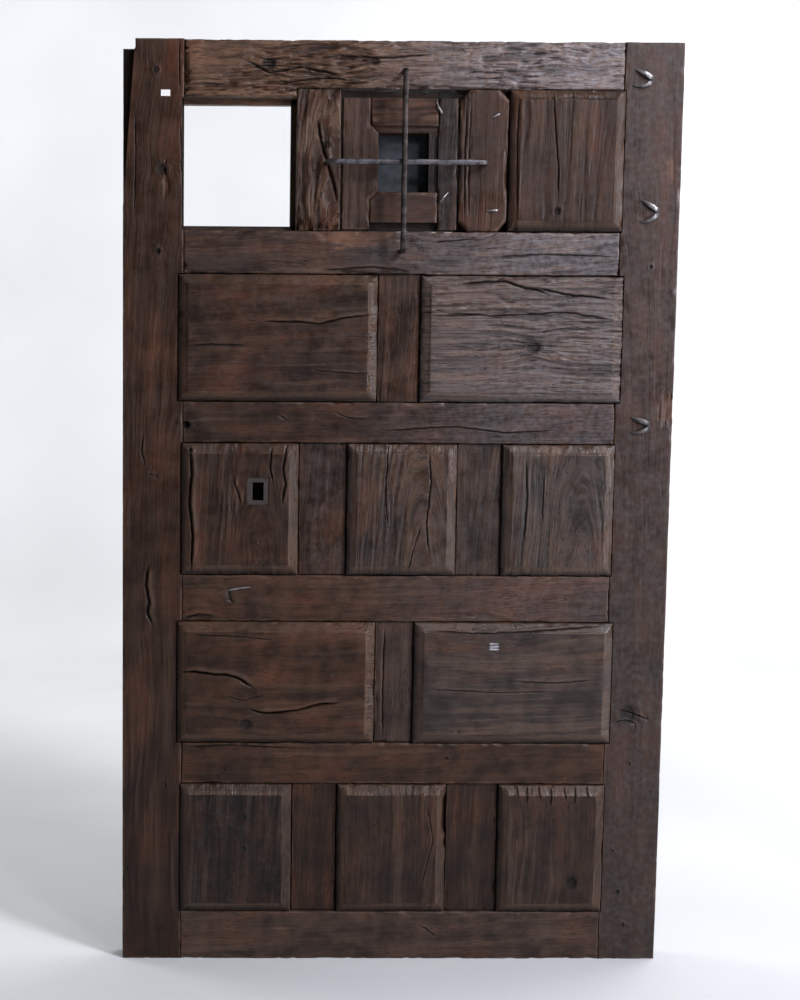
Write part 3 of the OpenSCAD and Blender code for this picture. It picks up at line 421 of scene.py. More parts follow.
@dataclass(frozen=True)
class ForgedIron:
    """Wrought iron, hammered hot, black from the forge and long handled.

    Scale and old rust make it dark and mottled; where hands or tools rubbed, bare metal shines.
    """

    name: str
    black: str = "#2B2929"
    rust: str = "#382A23"
    bright: str = "#8F8E92"
    shine: float = 0.35
    rusty: float = 0.5
    pit_mm: float = 3.0

    def build(self) -> Material:
        """Builds the material.

        Returns:
            The finished material.
        """
        material, tree, shader = new_material(self.name)
        node = partial(add, tree)
        masks = node("Attribute", {"attribute_name": "masks"}, out="Vector")
        wear = node("SeparateXYZ", {}, masks)
        here = node("TexCoord", out="Object")
        patch, pits = (
            node("TexNoise", {}, here, Scale=1 / (size * MM), Detail=detail, Roughness=0.6)
            for size, detail in ((14.0, 4.0), (self.pit_mm, 3.0)))
        rusted = node("MapRange", {}, patch, 0.52 - 0.25 * self.rusty, 0.8 - 0.2 * self.rusty)
        spots = node("MapRange", {}, patch, 0.3, 0.62, 0.15, 1.0)
        rubbed = node("Math", {**MULTIPLY, "use_clamp": True}, wear, spots)
        base = node("Mix", BLEND, i0=rusted, i6=linear(self.black), i7=linear(self.rust), out=2)
        colour = node("Mix", BLEND, i0=rubbed, i6=base, i7=linear(self.bright), out=2)
        metal = node("MapRange", {}, rusted, 0.0, 1.0, 0.85, 0.15)
        metal = node("Math", LARGER, metal, rubbed)
        rough = node("MapRange", {}, pits, 0.3, 0.7, 0.42, 0.66)
        rough = node("Math", MULTIPLY_ADD, rubbed, -self.shine, rough)
        bump = node("Bump", {}, Strength=0.6, Distance=0.25 * MM, Height=pits)
        for value, socket in ((colour, "Base Color"), (metal, "Metallic"), (rough, "Roughness"),
                              (bump, "Normal")):
            tree.links.new(value, shader.inputs[socket])
        return material


@dataclass(frozen=True)
class PlainPaper:
    """A blank paper tag, pressed from pulp: matt, off-white, with a faint mottle."""

    name: str = "plain_paper"

    def build(self) -> Material:
        """Builds the material.

        Returns:
            The finished material.
        """
        material, tree, shader = new_material(self.name)
        here = add(tree, "TexCoord", out="Object")
        pulp = add(tree, "TexNoise", {}, here, Scale=1 / (1.5 * MM), Detail=3.0)
        colour = add(tree, "ValToRGB", {"stops": ((0.3, "#D8D6D2"), (0.7, "#F2F2F0"))}, pulp)
        tree.links.new(colour, shader.inputs["Base Color"])
        shader.inputs["Roughness"].default_value = 0.85
        return material


@dataclass(frozen=True)
class PaleBackground:
    """Seamless studio paper: flat, matt and pale, with only a breath of tone."""

    name: str = "studio_paper"
    low: str = "#CFD0D1"
    high: str = "#DADBDC"

    def build(self) -> Material:
        """Builds the material.

        Returns:
            The finished material.
        """
        material, tree, shader = new_material(self.name)
        here = add(tree, "TexCoord", out="Object")
        cloud = add(tree, "TexNoise", {}, here, Scale=1.2)
        colour = add(tree, "ValToRGB", {"stops": ((0.3, self.low), (0.7, self.high))}, cloud)
        tree.links.new(colour, shader.inputs["Base Color"])
        shader.inputs["Roughness"].default_value = 0.9
        return material


# ---- Wooden members


class Run(Enum):
    """Which way a board's grain runs."""

    ACROSS = "x"
    UPRIGHT = "z"


@dataclass(frozen=True)
class Crack:
    """A split along its points (X, Z): its half width, its depth and how far its lip lifts."""

    points: Sequence[Point]
    width: float = 1.6
    depth: float = 6.0
    lift: float = 0.0


@dataclass(frozen=True)
class Knot:
    """A knot with its centre (x, z) and radius; sink is how deep its dark heart lies."""

    x: float
    z: float
    radius: float
    sink: float = 1.5


@dataclass(frozen=True)
class Chip:
    """A place where wood broke away: centre, half sizes, depth and how raw it still looks."""

    x: float
    z: float
    rx: float
    rz: float
    depth: float
    raw: float = 0.0
    splinter: float = 0.5


@dataclass(frozen=True)
class Floor:
    """A step cut into a board's face: its anticlockwise outline (X, Z) and its floor's depth."""

    outline: tuple[Point, ...]
    y: float


def floor(x0: float, x1: float, z0: float, z1: float, y: float) -> Floor:
    """Makes a rectangular step."""
    return Floor(((x0, z0), (x1, z0), (x1, z1), (x0, z1)), y)


@dataclass(frozen=True)
class Wear:
    """How time treated a board, in millimetres where it isn't a share.

    Erosion is the soft grain's depth, ridge and run the width and length of what stands between.
    Arris is the edges' radius, ragged how far they wander, chips how deeply they are dented, and
    warp how uneven the face is. Patchy is the share of the erosion that comes in patches. Wander
    is how far the grain winds. Heart and taper say where the tree's heart lay beside the board
    and how fast the rings close on it.
    """

    erosion: float = 0.9
    ridge: float = 8.0
    run: float = 170.0
    arris: float = 2.2
    ragged: float = 0.4
    warp: float = 0.8
    chips: float = 0.7
    patchy: float = 0.7
    wander: float = 8.0
    heart: float = 120.0
    taper: float = 0.06


@dataclass
class WornFace:
    """A board's face while its wear is worked out, with one value for each point.

    S and line are the places along and across the grain, edge the distance from the outline,
    nx and nz the way in from it, and along the outline's length up to there. Drop is how far
    the wood has gone back. Wear, cavity and raw are shares from 0 to 1.
    """

    x: Array
    z: Array
    s: Array
    line: Array
    edge: Array
    nx: Array
    nz: Array
    along: Array
    drop: Array = field(init=False)
    wear: Array = field(init=False)
    cavity: Array = field(init=False)
    raw: Array = field(init=False)

    def __post_init__(self) -> None:
        """Starts from new wood."""
        self.drop, self.wear = np.zeros_like(self.x), np.zeros_like(self.x)
        self.cavity, self.raw = np.zeros_like(self.x), np.zeros_like(self.x)


@dataclass
class Board:
    """One wooden member: a finely divided worn face, worn edges, stepped sides, a plain back.

    Lips are how far the back part stands out at the left, right, bottom and top behind the
    neighbours' edges, and no_lip is a stretch (X from, X to, on the lower side) without one.
    Raised is how far a panel's field stands in front of its bevel's foot. Square_back is the
    extra width of a full rectangle behind a clipped outline. Pitch is the face's division along
    and across the grain.
    """

    node: str
    material: Material
    x0: float
    x1: float
    z0: float
    z1: float
    y0: float
    y1: float = BACK_Y
    run: Run = Run.ACROSS
    wear: Wear = Wear()
    seed: int = 1
    body: str = "leaf"
    slot: str = "muntin_wood"
    outline: Optional[Sequence[Point]] = None
    lips: Rect = (0, 0, 0, 0)
    no_lip: Optional[tuple[float, float, bool]] = None
    raised: float = 0.0
    floors: Sequence[Floor] = ()
    hole: Optional[Rect] = None
    dabs: Sequence[Chip] = ()
    square_back: Optional[float] = None
    shaded_ends: float = 0.0
    cracks: Sequence[Crack] = ()
    knots: Sequence[Knot] = ()
    chips: Sequence[Chip] = ()
    pitch: tuple[float, float] = (6.0, 2.0)

    def border(self) -> list[Point]:
        """Finds the face's outline.

        Returns:
            The outline that was given, or the board's rectangle.
        """
        if self.outline:
            return list(self.outline)
        return [(self.x0, self.z0), (self.x1, self.z0), (self.x1, self.z1), (self.x0, self.z1)]

    def lines(self, low: float, high: float, pitch: float, wanted: Sequence[float]) -> list[float]:
        """Places the face's division lines, closer together at both ends.

        Args:
            low: Where the board starts.
            high: Where it ends.
            pitch: The usual step.
            wanted: Places that must have a line.

        Returns:
            The places in order.
        """
        marks = sorted({round(v, 3) for v in wanted if low < v < high})
        stops = [low, *marks, high]
        ends = [low + mark for mark in RIM_MARKS] + [high - mark for mark in RIM_MARKS]
        out = [low]
        for a, b in zip(stops, stops[1:]):
            steps = max(1, round((b - a) / pitch))
            inner = [a + (b - a) * n / steps for n in range(1, steps)]
            keep = [v for v in inner if low + RIM_WIDTH < v < high - RIM_WIDTH]
            keep += [v for v in ends if a + 0.3 < v < b - 0.3]
            out += sorted(keep) + [b]
        return out

    def sheet(self) -> BMesh:
        """Makes the flat, divided face with its outline cut, refined round cracks and chips.

        Returns:
            The face in a new bmesh, at the depth y0.
        """
        sides = (-STEP_WALL, STEP_WALL)
        wanted_x = [x + side for f in self.floors for x, _ in f.outline for side in sides]
        wanted_z = [z + side for f in self.floors for _, z in f.outline for side in sides]
        for x, z in self.border():
            wanted_x.append(x)
            wanted_z.append(z)
        if self.raised:
            for inset in (BEVEL - 2.0, BEVEL - 0.8, BEVEL + 0.6):
                wanted_x += [self.x0 + inset, self.x1 - inset]
                wanted_z += [self.z0 + inset, self.z1 - inset]
        if self.hole:
            wanted_x += self.hole[:2]
            wanted_z += self.hole[2:]
        along, across = self.pitch
        flat = self.run is Run.ACROSS
        xs = self.lines(self.x0, self.x1, along if flat else across, wanted_x)
        zs = self.lines(self.z0, self.z1, across if flat else along, wanted_z)
        bm = bmesh.new()
        nx, nz = len(xs) - 1, len(zs) - 1
        bmesh.ops.create_grid(bm, x_segments=nx, y_segments=nz, size=1.0)
        for v in bm.verts:
            i, j = round((v.co.x + 1) / 2 * nx), round((v.co.y + 1) / 2 * nz)
            v.co = (xs[i], self.y0, zs[j])
        self.cut_outline(bm)
        self.refine(bm)
        return bm

    def cut_outline(self, bm: BMesh) -> None:
        """Cuts slanted edges through the face and removes what lies outside the outline.

        Args:
            bm: The sheet.
        """
        border = self.border()
        self.slant_cuts(bm, border, (0.0,))
        for step in self.floors:
            self.slant_cuts(bm, list(step.outline), (-STEP_WALL, STEP_WALL))
        faces = bm.faces[:]
        centres = [face.calc_center_median() for face in faces]
        x, z = np.array([c.x for c in centres]), np.array([c.z for c in centres])
        gone = ~inside(x, z, border) if self.outline else np.zeros(x.shape, bool)
        if self.hole:
            x0, x1, z0, z1 = self.hole
            gone |= (x0 < x) & (x < x1) & (z0 < z) & (z < z1)
        if gone.any():
            geom = [face for face, away in zip(faces, gone) if away]
            bmesh.ops.delete(bm, geom=geom, context="FACES")

    def slant_cuts(self, bm: BMesh, border: list[Point], offsets: Sequence[float]) -> None:
        """Cuts the sheet along an outline's slanted sides.

        Args:
            bm: The sheet.
            border: The outline.
            offsets: How far inside the outline each cut runs.
        """
        for (ax, az), (bx, bz) in zip(border, border[1:] + border[:1]):
            if abs(ax - bx) < MERGE or abs(az - bz) < MERGE:
                continue
            length = math.dist((ax, az), (bx, bz))
            nx, nz = (az - bz) / length, (bx - ax) / length
            for off in offsets:
                bmesh.ops.bisect_plane(
                    bm, geom=bm.verts[:] + bm.edges[:] + bm.faces[:], dist=1e-4,
                    plane_co=(ax + nx * off, self.y0, az + nz * off), plane_no=(nx, 0, nz))

    def refine(self, bm: BMesh) -> None:
        """Divides the face more finely beside each dab of paint, knot and crack.

        Args:
            bm: The sheet.
        """
        spots = [(dab.x, dab.z, 2 * dab.rx) for dab in self.dabs]
        spots += [(knot.x, knot.z, 1.3 * knot.radius + 4) for knot in self.knots]
        for x, z, reach in spots:
            close = {v for v in bm.verts if math.hypot(v.co.x - x, v.co.z - z) < reach}
            edges = [e for e in bm.edges if e.verts[0] in close and e.verts[1] in close
                     and not e.is_boundary]
            if edges:
                bmesh.ops.subdivide_edges(bm, edges=edges, cuts=2, use_grid_fill=True)
        for crack in self.cracks:
            x = np.array([v.co.x for v in bm.verts])
            z = np.array([v.co.z for v in bm.verts])
            near = path_distance(x, z, crack.points)[0] < max(4.5, crack.width * 2.5)
            bm.verts.index_update()
            edges = [e for e in bm.edges if near[e.verts[0].index] and near[e.verts[1].index]
                     and not e.is_boundary]
            if edges:
                bmesh.ops.subdivide_edges(bm, edges=edges, cuts=1, use_grid_fill=True)

    def close(self, bm: BMesh) -> None:
        """Adds the sides, the step behind the neighbours' edges, the back arris and the back.

        Args:
            bm: The cut sheet.
        """
        edges = [e for e in bm.edges if e.is_boundary]
        edges = self.pull(bm, edges, LIP_Y, (0, 0, 0, 0))
        if self.square_back is not None:
            edges = self.square(bm, edges)
        elif any(self.lips):
            edges = self.pull(bm, edges, LIP_Y, self.lips)
        back = self.y1 - BACK_ARRIS
        edges = self.pull(bm, edges, back, (0, 0, 0, 0))
        loops = split_loops(edges)
        rim = max(loops, key=lambda loop: sum(e.calc_length() for e in loop))
        if len(loops) == 1:
            rim = self.round_back(bm, rim)
        bmesh.ops.edgeloop_fill(bm, edges=rim)
        if len(loops) > 1:
            hx0, hx1, hz0, hz1 = self.hole
            cuts = [((hx0, 0, 0), (1, 0, 0)), ((hx1, 0, 0), (1, 0, 0)),
                    ((0, 0, hz0), (0, 0, 1)), ((0, 0, hz1), (0, 0, 1))]
            for at, normal in cuts:
                parts = [f for f in bm.faces if all(v.co.y > back - MERGE for v in f.verts)]
                geom = parts + list({e for f in parts for e in f.edges})
                geom += list({v for f in parts for v in f.verts})
                bmesh.ops.bisect_plane(bm, geom=geom, dist=1e-4, plane_co=at, plane_no=normal)
            for f in [f for f in bm.faces if all(v.co.y > back - MERGE for v in f.verts)]:
                c = f.calc_center_median()
                if hx0 < c.x < hx1 and hz0 < c.z < hz1:
                    ring = list(f.edges)
                    bmesh.ops.delete(bm, geom=[f], context="FACES_ONLY")
                    inner = [e for loop in loops if loop is not rim for e in loop]
                    bmesh.ops.bridge_loops(bm, edges=ring + inner)

    def round_back(self, bm: BMesh, rim: list) -> list:
        """Adds the worn arris round the back.

        Args:
            bm: The bmesh.
            rim: The rim that the arris starts from.

        Returns:
            The rim of the back face.
        """
        made = bmesh.ops.extrude_edge_only(bm, edges=rim)["geom"]
        edges = only(made, BMEdge)
        links = {}
        for e in edges:
            for v, other in (e.verts, reversed(e.verts)):
                links.setdefault(v, []).append(other)
        walk, last = [edges[0].verts[0]], None
        while True:
            step = [v for v in links[walk[-1]] if v is not last]
            last = walk[-1]
            if step[0] is walk[0] or len(walk) == len(links):
                break
            walk.append(step[0])
        points = [(v.co.x, v.co.z) for v in walk]
        area = sum(a[0] * b[1] - b[0] * a[1] for a, b in zip(points, points[1:] + points[:1]))
        if area < 0:
            walk.reverse()
            points.reverse()
        count = len(points)

        def heading(n: int) -> Vector:
            """Gives the walk's direction from its point n to the next."""
            (ax, az), (bx, bz) = points[n % count], points[(n + 1) % count]
            return Vector((bx - ax, bz - az)).normalized()

        corners = [n for n in range(count) if heading(n - 1).dot(heading(n)) < 0.98]
        inner = []
        for n in corners:
            a, b = heading(n - 1), heading(n)
            out = Vector((-a.y - b.y, a.x + b.x))
            inner.append(Vector(points[n]) + out * (BACK_ARRIS / max(0.6, 1 + a.dot(b))))
        for k, n in enumerate(corners):
            start, stop = inner[k], inner[(k + 1) % len(corners)]
            end = corners[(k + 1) % len(corners)]
            run = (end - n) % count
            line = (stop - start).normalized()
            for m in range(run):
                v = walk[(n + m) % count]
                far = (Vector((v.co.x, v.co.z)) - start).dot(line)
                at = start + line * min(max(far, 0.0), (stop - start).length)
                v.co = (at.x, self.y1, at.y)
        bmesh.ops.remove_doubles(bm, verts=walk, dist=MERGE)
        return [e for e in bm.edges if e.is_boundary and e.verts[0].co.y > self.y1 - 0.001
                and e.verts[1].co.y > self.y1 - 0.001]

    def pull(self, bm: BMesh, edges: list, y: float, out: Rect) -> list:
        """Extrudes a rim of edges to the depth y and moves its sides outwards.

        Args:
            bm: The bmesh.
            edges: The rim.
            y: The new depth.
            out: How far the left, right, bottom and top sides move outwards.

        Returns:
            The new rim.
        """
        made = bmesh.ops.extrude_edge_only(bm, edges=edges)["geom"]
        for v in only(made, BMVert):
            x, z = v.co.x, v.co.z
            bare = self.no_lip and self.no_lip[0] < x < self.no_lip[1]
            if x < self.x0 + RIM_NEAR:
                v.co.x -= out[0]
            if x > self.x1 - RIM_NEAR:
                v.co.x += out[1]
            if self.on_side(x, z, low=True) and not (bare and self.no_lip[2]):
                v.co.z -= out[2]
            if self.on_side(x, z, low=False) and not (bare and not self.no_lip[2]):
                v.co.z += out[3]
            # A side that moves inwards takes the points beside the corner with it
            if out[0] < 0:
                v.co.x = max(v.co.x, self.x0 - out[0])
            if out[1] < 0:
                v.co.x = min(v.co.x, self.x1 + out[1])
            if out[2] < 0:
                v.co.z = max(v.co.z, self.z0 - out[2])
            if out[3] < 0:
                v.co.z = min(v.co.z, self.z1 + out[3])
            v.co.y = y
        if min(out) < 0:
            points = only(made, BMVert)
            bmesh.ops.remove_doubles(bm, verts=points, dist=MERGE)
        return [e for e in bm.edges if e.is_boundary]

    def square(self, bm: BMesh, edges: list) -> list:
        """Steps from a clipped outline out to the full rectangle of the board's back part.

        Args:
            bm: The bmesh.
            edges: The rim at the step's depth.

        Returns:
            The new rim.
        """
        made = bmesh.ops.extrude_edge_only(bm, edges=edges)["geom"]
        mid_x, mid_z = (self.x0 + self.x1) / 2, (self.z0 + self.z1) / 2
        low, high = self.z0 + BACK_LIP, self.z1 - BACK_LIP
        for v in only(made, BMVert):
            x, z = v.co.x, v.co.z
            gap_x = min(x - self.x0, self.x1 - x)
            gap_z = min(z - self.z0, self.z1 - z)
            if gap_x > 0.3 and gap_z > 0.3:
                if gap_x / 18 < gap_z / 20:
                    x = self.x0 if x < mid_x else self.x1
                else:
                    z = low if z < mid_z else high
            z = min(max(z, low), high)
            if x > self.x1 - 0.3:
                x += self.square_back
            v.co = (x, LIP_Y, z)
        return only(made, BMEdge)

    def on_side(self, x: float, z: float, low: bool) -> bool:
        """Says whether a rim point lies on the outline's lower or upper run.

        Args:
            x: The point's X.
            z: Its Z.
            low: Whether the lower run is meant.

        Returns:
            True if it lies there.
        """
        if not self.outline:
            return z < self.z0 + RIM_NEAR if low else z > self.z1 - RIM_NEAR
        for (ax, az), (bx, bz) in zip(self.border(), self.border()[1:] + self.border()[:1]):
            level = abs(az - bz) < MERGE and abs(z - az) < RIM_NEAR
            if level and min(ax, bx) - RIM_NEAR <= x <= max(ax, bx) + RIM_NEAR:
                return (bx > ax) == low
        return False

    def grain_at(self, x: Array, z: Array) -> tuple[Array, Array, Array]:
        """Works out where each point lies in the grain.

        Args:
            x: Points' X.
            z: Points' Z.

        Returns:
            Distance along the grain, distance across it as the lines wander and pass round the
            knots, and how deep in a knot a point is (0 to 1).
        """
        s, t = (x, z) if self.run is Run.ACROSS else (z, x)
        w = self.wear
        mid_s, mid_t = ((self.x0 + self.x1) / 2, (self.z0 + self.z1) / 2)
        if self.run is Run.UPRIGHT:
            mid_s, mid_t = mid_t, mid_s
        line = np.hypot(t - mid_t - w.heart, 40 + w.taper * (s - mid_s)) + mid_t
        line += 2 * w.wander * (fbm(s / 260, t / 90, self.seed + 7, 2) - 0.5)
        line += 0.5 * w.wander * (fbm(s / 60, t / 30, self.seed + 8, 2) - 0.5)
        heart = np.zeros_like(s)
        for knot in self.knots:
            ks, kt = (knot.x, knot.z) if self.run is Run.ACROSS else (knot.z, knot.x)
            ds, dt = s - ks, t - kt
            reach = np.exp(-(ds / (2.6 * knot.radius)) ** 2 - np.abs(dt) / (2.2 * knot.radius))
            line -= np.sign(dt) * np.minimum(np.abs(dt), knot.radius) * reach
            off = np.hypot(ds / 1.25, dt)
            heart = np.maximum(heart, ease(-off, -knot.radius, -0.55 * knot.radius))
        return s, line, heart

    def relief(self, x: Array, z: Array) -> tuple[Array, ...]:
        """Works out the worn face.

        Args:
            x: Face points' X.
            z: Face points' Z.

        Returns:
            The points' new X, Z and Y, then wear, cavity and rawness, each from 0 to 1.
        """
        s, line, heart = self.grain_at(x, z)
        face = WornFace(x, z, s, line, *border_distance(x, z, self.border()))
        gone = self.erode(face)
        if self.raised:
            self.bevel(face)
        pull = self.wear_edges(face)
        for chip in self.chips:
            self.break_out(face, chip)
        for knot in self.knots:
            away = np.hypot(x - knot.x, z - knot.z) / knot.radius
            swell = 0.8 * np.exp(-((away - 1.1) / 0.35) ** 2)
            face.drop += knot.sink * ease(-away, -0.75, -0.35) - swell
        face.cavity = np.maximum(face.cavity, 0.9 * heart)
        for n, crack in enumerate(self.cracks):
            self.split(face, crack, self.seed + n)
        y = self.y0 + face.drop
        for step in self.floors:
            inner = inside(x, z, step.outline)
            y = np.where(inner, np.maximum(y, step.y + 0.4 * gone), y)
            # Painted shade fills each step cut into the face, darker the deeper it lies; the step
            # keeps less wear
            dirt_and_shade = 0.85 * min(1.0, (step.y - self.y0) / 12)
            face.cavity = np.where(inner, np.maximum(face.cavity, dirt_and_shade), face.cavity)
            face.wear = np.where(inner, face.wear * 0.3, face.wear)
        return (x + face.nx * pull, z + face.nz * pull, y, face.wear,
                np.clip(face.cavity, 0, 1), np.clip(face.raw, 0, 1))

    def erode(self, face: WornFace) -> Array:
        """Wears the early wood away between the ridges of late wood.

        Args:
            face: The face.

        Returns:
            How deep the early wood has gone at each point.
        """
        w, seed, line, s = self.wear, self.seed, face.line, face.s
        t = face.z if self.run is Run.ACROSS else face.x
        band = fbm(line / w.ridge, s / w.run, seed + 11, 3)
        valley = np.clip((0.56 - band) / 0.26, 0, 1) ** 1.2
        eroded = ease(fbm(s / 190, t / 55, seed + 13, 2), 0.35, 0.62)
        deep = w.erosion * (1 - w.patchy + w.patchy * eroded)
        nicks = ease(fbm(line / (w.ridge * 0.6), s / 26, seed + 17, 2), 0.6, 0.8) * eroded
        face.drop += deep * (valley + 0.55 * nicks)
        face.drop += w.warp * fbm(face.x / 150, face.z / 150, seed + 19, 2)
        hold = np.clip(deep / 3.0, 0, 1)
        # The valleys and nicks are darkened with dirt and painted shade
        face.cavity = 0.55 * valley * hold + 0.35 * nicks * hold
        face.wear = np.clip((band - 0.55) / 0.2, 0, 1) * np.clip(deep / 2.5, 0.1, 1)
        return deep * valley

    def bevel(self, face: WornFace) -> None:
        """Drops the bevel from the raised field, polished and painted lighter at its arris, with
        painted shade towards its foot.

        Args:
            face: The face.
        """
        wobble = face.edge + 1.4 * (fbm(face.x / 45, face.z / 45, self.seed + 3, 2) - 0.5)
        rise = 1 - np.clip(wobble / BEVEL, 0, 1)
        soft = 0.11
        rise = np.where(rise < soft, rise * rise / (2 * soft), rise - soft / 2) / (1 - soft / 2)
        # A small worn step leads from the field down to the bevel
        step_mm = 1.5
        face.drop += (self.raised - step_mm) * rise + step_mm * ease(rise, 0.0, 0.05)
        patch = fbm(face.x / 60, face.z / 60, self.seed + 5, 2)
        # The polish lightens the bevel as worn, waxed wood; along the arris it is also a painted
        # highlight
        polish = ease(rise, 0.0, 0.04) * (0.2 + 0.4 * patch)
        arris = ease(rise, 0.0, 0.01) * ease(-rise, -0.09, -0.02)
        polish = np.clip(polish + arris * ease(patch, 0.25, 0.55), 0, 1)
        # Painted shade towards the bevel's foot, most on the lower and lock-side bevels, turned
        # away from the light
        shade_side = np.clip(0.1 + 0.75 * np.maximum(face.nx, face.nz), 0.1, 0.85)
        bevel_shade = ease(rise, 0.3, 0.95) * shade_side
        face.cavity = np.maximum(face.cavity, bevel_shade)
        face.wear = np.maximum(face.wear, polish) * (1 - bevel_shade)

    def wear_edges(self, face: WornFace) -> Array:
        """Rounds, dents, frays and darkens the board's edges with dirt and painted shade.

        Args:
            face: The face.

        Returns:
            How far each point moves in from the edge.
        """
        w, seed, d, along = self.wear, self.seed, face.edge, face.along
        flat = np.zeros_like(d)
        radius = w.arris * (0.45 + 1.1 * fbm(along / 55, flat, seed + 23, 2))
        over = np.clip(radius - d, 0, None)
        face.drop += radius - np.sqrt(np.clip(radius ** 2 - over ** 2, 0, None))
        dent = ease(fbm(face.x / 16, face.z / 16, seed + 29, 2), 0.63, 0.78) * w.chips
        face.drop += dent * 4.5 * ease(-d, -9, -0.5)
        rubbed = 0.75 * ease(-d, -radius.mean() * 2.2, -radius.mean() * 0.6)
        rubbed *= ease(fbm(along / 30, flat, seed + 31, 2), 0.35, 0.6)
        face.wear = np.maximum(face.wear, rubbed)
        # Dirt and painted shade darken the last two millimetres inside the outline, where boards
        # meet
        dirt_and_shade = 0.5 * ease(-d, -2.0, 0) * (0.4 + 0.6 * fbm(along / 80, flat + 3.1, seed + 33, 2))
        face.cavity = np.maximum(face.cavity, dirt_and_shade)
        face.raw = np.maximum(face.raw, dent * 0.25 * ease(-d, -8, -1))
        # Painted shade at a muntin's ends, where the rails stand over it
        if self.shaded_ends:
            ends = np.minimum(face.z - self.z0, self.z1 - face.z)
            reach = 4.5 + 3 * fbm(face.x / 20, face.z / 20, seed + 35, 2)
            end_shade = self.shaded_ends * ease(-ends, -reach, -1.0)
            face.cavity = np.maximum(face.cavity, end_shade)
        nibble = 0.5 * fbm(along / 75, flat + 5.5, seed + 37, 2)
        nibble += ease(fbm(along / 26, flat + 9.5, seed + 39, 3), 0.5, 0.75)
        return np.exp(-d / 5) * w.ragged * 2 * nibble

    def break_out(self, face: WornFace, chip: Chip) -> None:
        """Tears a chip out of the face along its grain.

        Args:
            face: The face.
            chip: The chip.
        """
        s, line = face.s, face.line
        ragged = 0.45 * chip.splinter * (fbm(s / 24, line / 4.5, self.seed + 41, 3) - 0.5) * 4
        reach = np.hypot((face.x - chip.x) / chip.rx, (face.z - chip.z) / chip.rz) + ragged
        bite = ease(-reach, -1.05, -0.75)
        torn = 0.55 + 0.9 * (fbm(line / 5, s / 40, self.seed + 43, 2) - 0.3)
        face.drop += chip.depth * bite * np.clip(torn, 0.2, 1.4)
        face.raw = np.maximum(face.raw, chip.raw * bite)
        face.wear *= 1 - 0.6 * bite

    @staticmethod
    def split(face: WornFace, crack: Crack, seed: int) -> None:
        """Opens a split in the face and lifts the lip beside it.

        Args:
            face: The face.
            crack: The split.
            seed: Which way it strays from its points.
        """
        x, z, width = face.x, face.z, crack.width
        jx = x + 2.4 * (fbm(x / 11, z / 11, seed + 50, 2) - 0.5)
        jz = z + 2.4 * (fbm(x / 11, z / 11, seed + 70, 2) - 0.5)
        away, share, side = path_distance(jx, jz, crack.points)
        taper = np.clip(np.minimum(share, 1 - share) * 7, 0.12, 1)
        cut = np.exp(-(away / (width * (0.5 + 0.5 * taper))) ** 2)
        face.drop += crack.depth * taper * cut
        # The split is darkened with dirt and painted shade
        dirt_and_shade = np.clip(cut * 1.25, 0, 1) * (0.4 + 0.6 * taper)
        face.cavity = np.maximum(face.cavity, dirt_and_shade)
        lip = np.exp(-((away - 2.6 * width) / (2.2 * width)) ** 2) * (side > 0)
        face.drop -= crack.lift * lip * taper
        face.wear = np.maximum(face.wear, 0.6 * lip * taper * min(1.0, crack.lift))

    def make(self) -> bpy.types.Object:
        """Builds the board, dresses it and puts it in the place of its CAD node.

        Returns:
            The finished object.
        """
        bm = self.sheet()
        self.close(bm)
        bmesh.ops.remove_doubles(bm, verts=bm.verts[:], dist=0.001)
        bmesh.ops.recalc_face_normals(bm, faces=bm.faces[:])
        if bm.calc_volume(signed=True) < 0:
            bmesh.ops.reverse_faces(bm, faces=bm.faces[:])
        mesh = bpy.data.meshes.new(self.node)
        bm.to_mesh(mesh)
        bm.free()
        count = len(mesh.vertices)
        co = np.empty(count * 3)
        mesh.vertices.foreach_get("co", co)
        co = co.reshape(-1, 3)
        face = co[:, 1] < self.y0 + 0.001
        x, z = co[:, 0].copy(), co[:, 2].copy()
        shift = GRAIN_SHIFT * self.seed
        if self.run is Run.ACROSS:
            grain = np.stack([x * MM + shift, z * MM + shift, co[:, 1] * MM], 1)
        else:
            grain = np.stack([z * MM + shift, x * MM + shift, co[:, 1] * MM], 1)
        # The sides and the back hold a little dirt and have no wear
        masks = np.zeros((count, 3))
        masks[:, 1] = 0.25
        nx, nz, ny, wear, cavity, raw = self.relief(x[face], z[face])
        s, line, _ = self.grain_at(x[face], z[face])
        co[face] = np.stack([nx, ny, nz], 1)
        grain[face] = np.stack([s * MM + shift, line * MM + shift, (ny - self.y0) * MM * 0.5], 1)
        masks[face] = np.stack([wear, cavity, raw], 1)
        mesh.vertices.foreach_set("co", (co * MM).ravel())
        if self.dabs:
            paint = np.zeros(count, np.float32)
            for dab in self.dabs:
                away = np.maximum(np.abs(x - dab.x) / dab.rx, np.abs(z - dab.z) / dab.rz)
                strokes = 0.55 + 0.45 * np.cos((z - dab.z) * 2 * math.pi / 5.5)
                paint = np.maximum(paint, ease(-away, -1.1, -0.8) * strokes * face)
            mesh.attributes.new("paint", "FLOAT", "POINT").data.foreach_set("value", paint)
        for name, values in (("grain", grain), ("masks", masks)):
            layer = mesh.attributes.new(name, "FLOAT_VECTOR", "POINT")
            layer.data.foreach_set("vector", values.astype(np.float32).ravel())
        mesh.materials.append(self.material)
        mesh.set_sharp_from_angle(angle=math.radians(BOARD_CREASE))
        mesh.polygons.foreach_set("use_smooth", [p.center.y < (self.y1 - 2.5) * MM
                                                 for p in mesh.polygons])
        mesh.update()
        return place(mesh, self.node, self.body, self.slot, (self.node,))


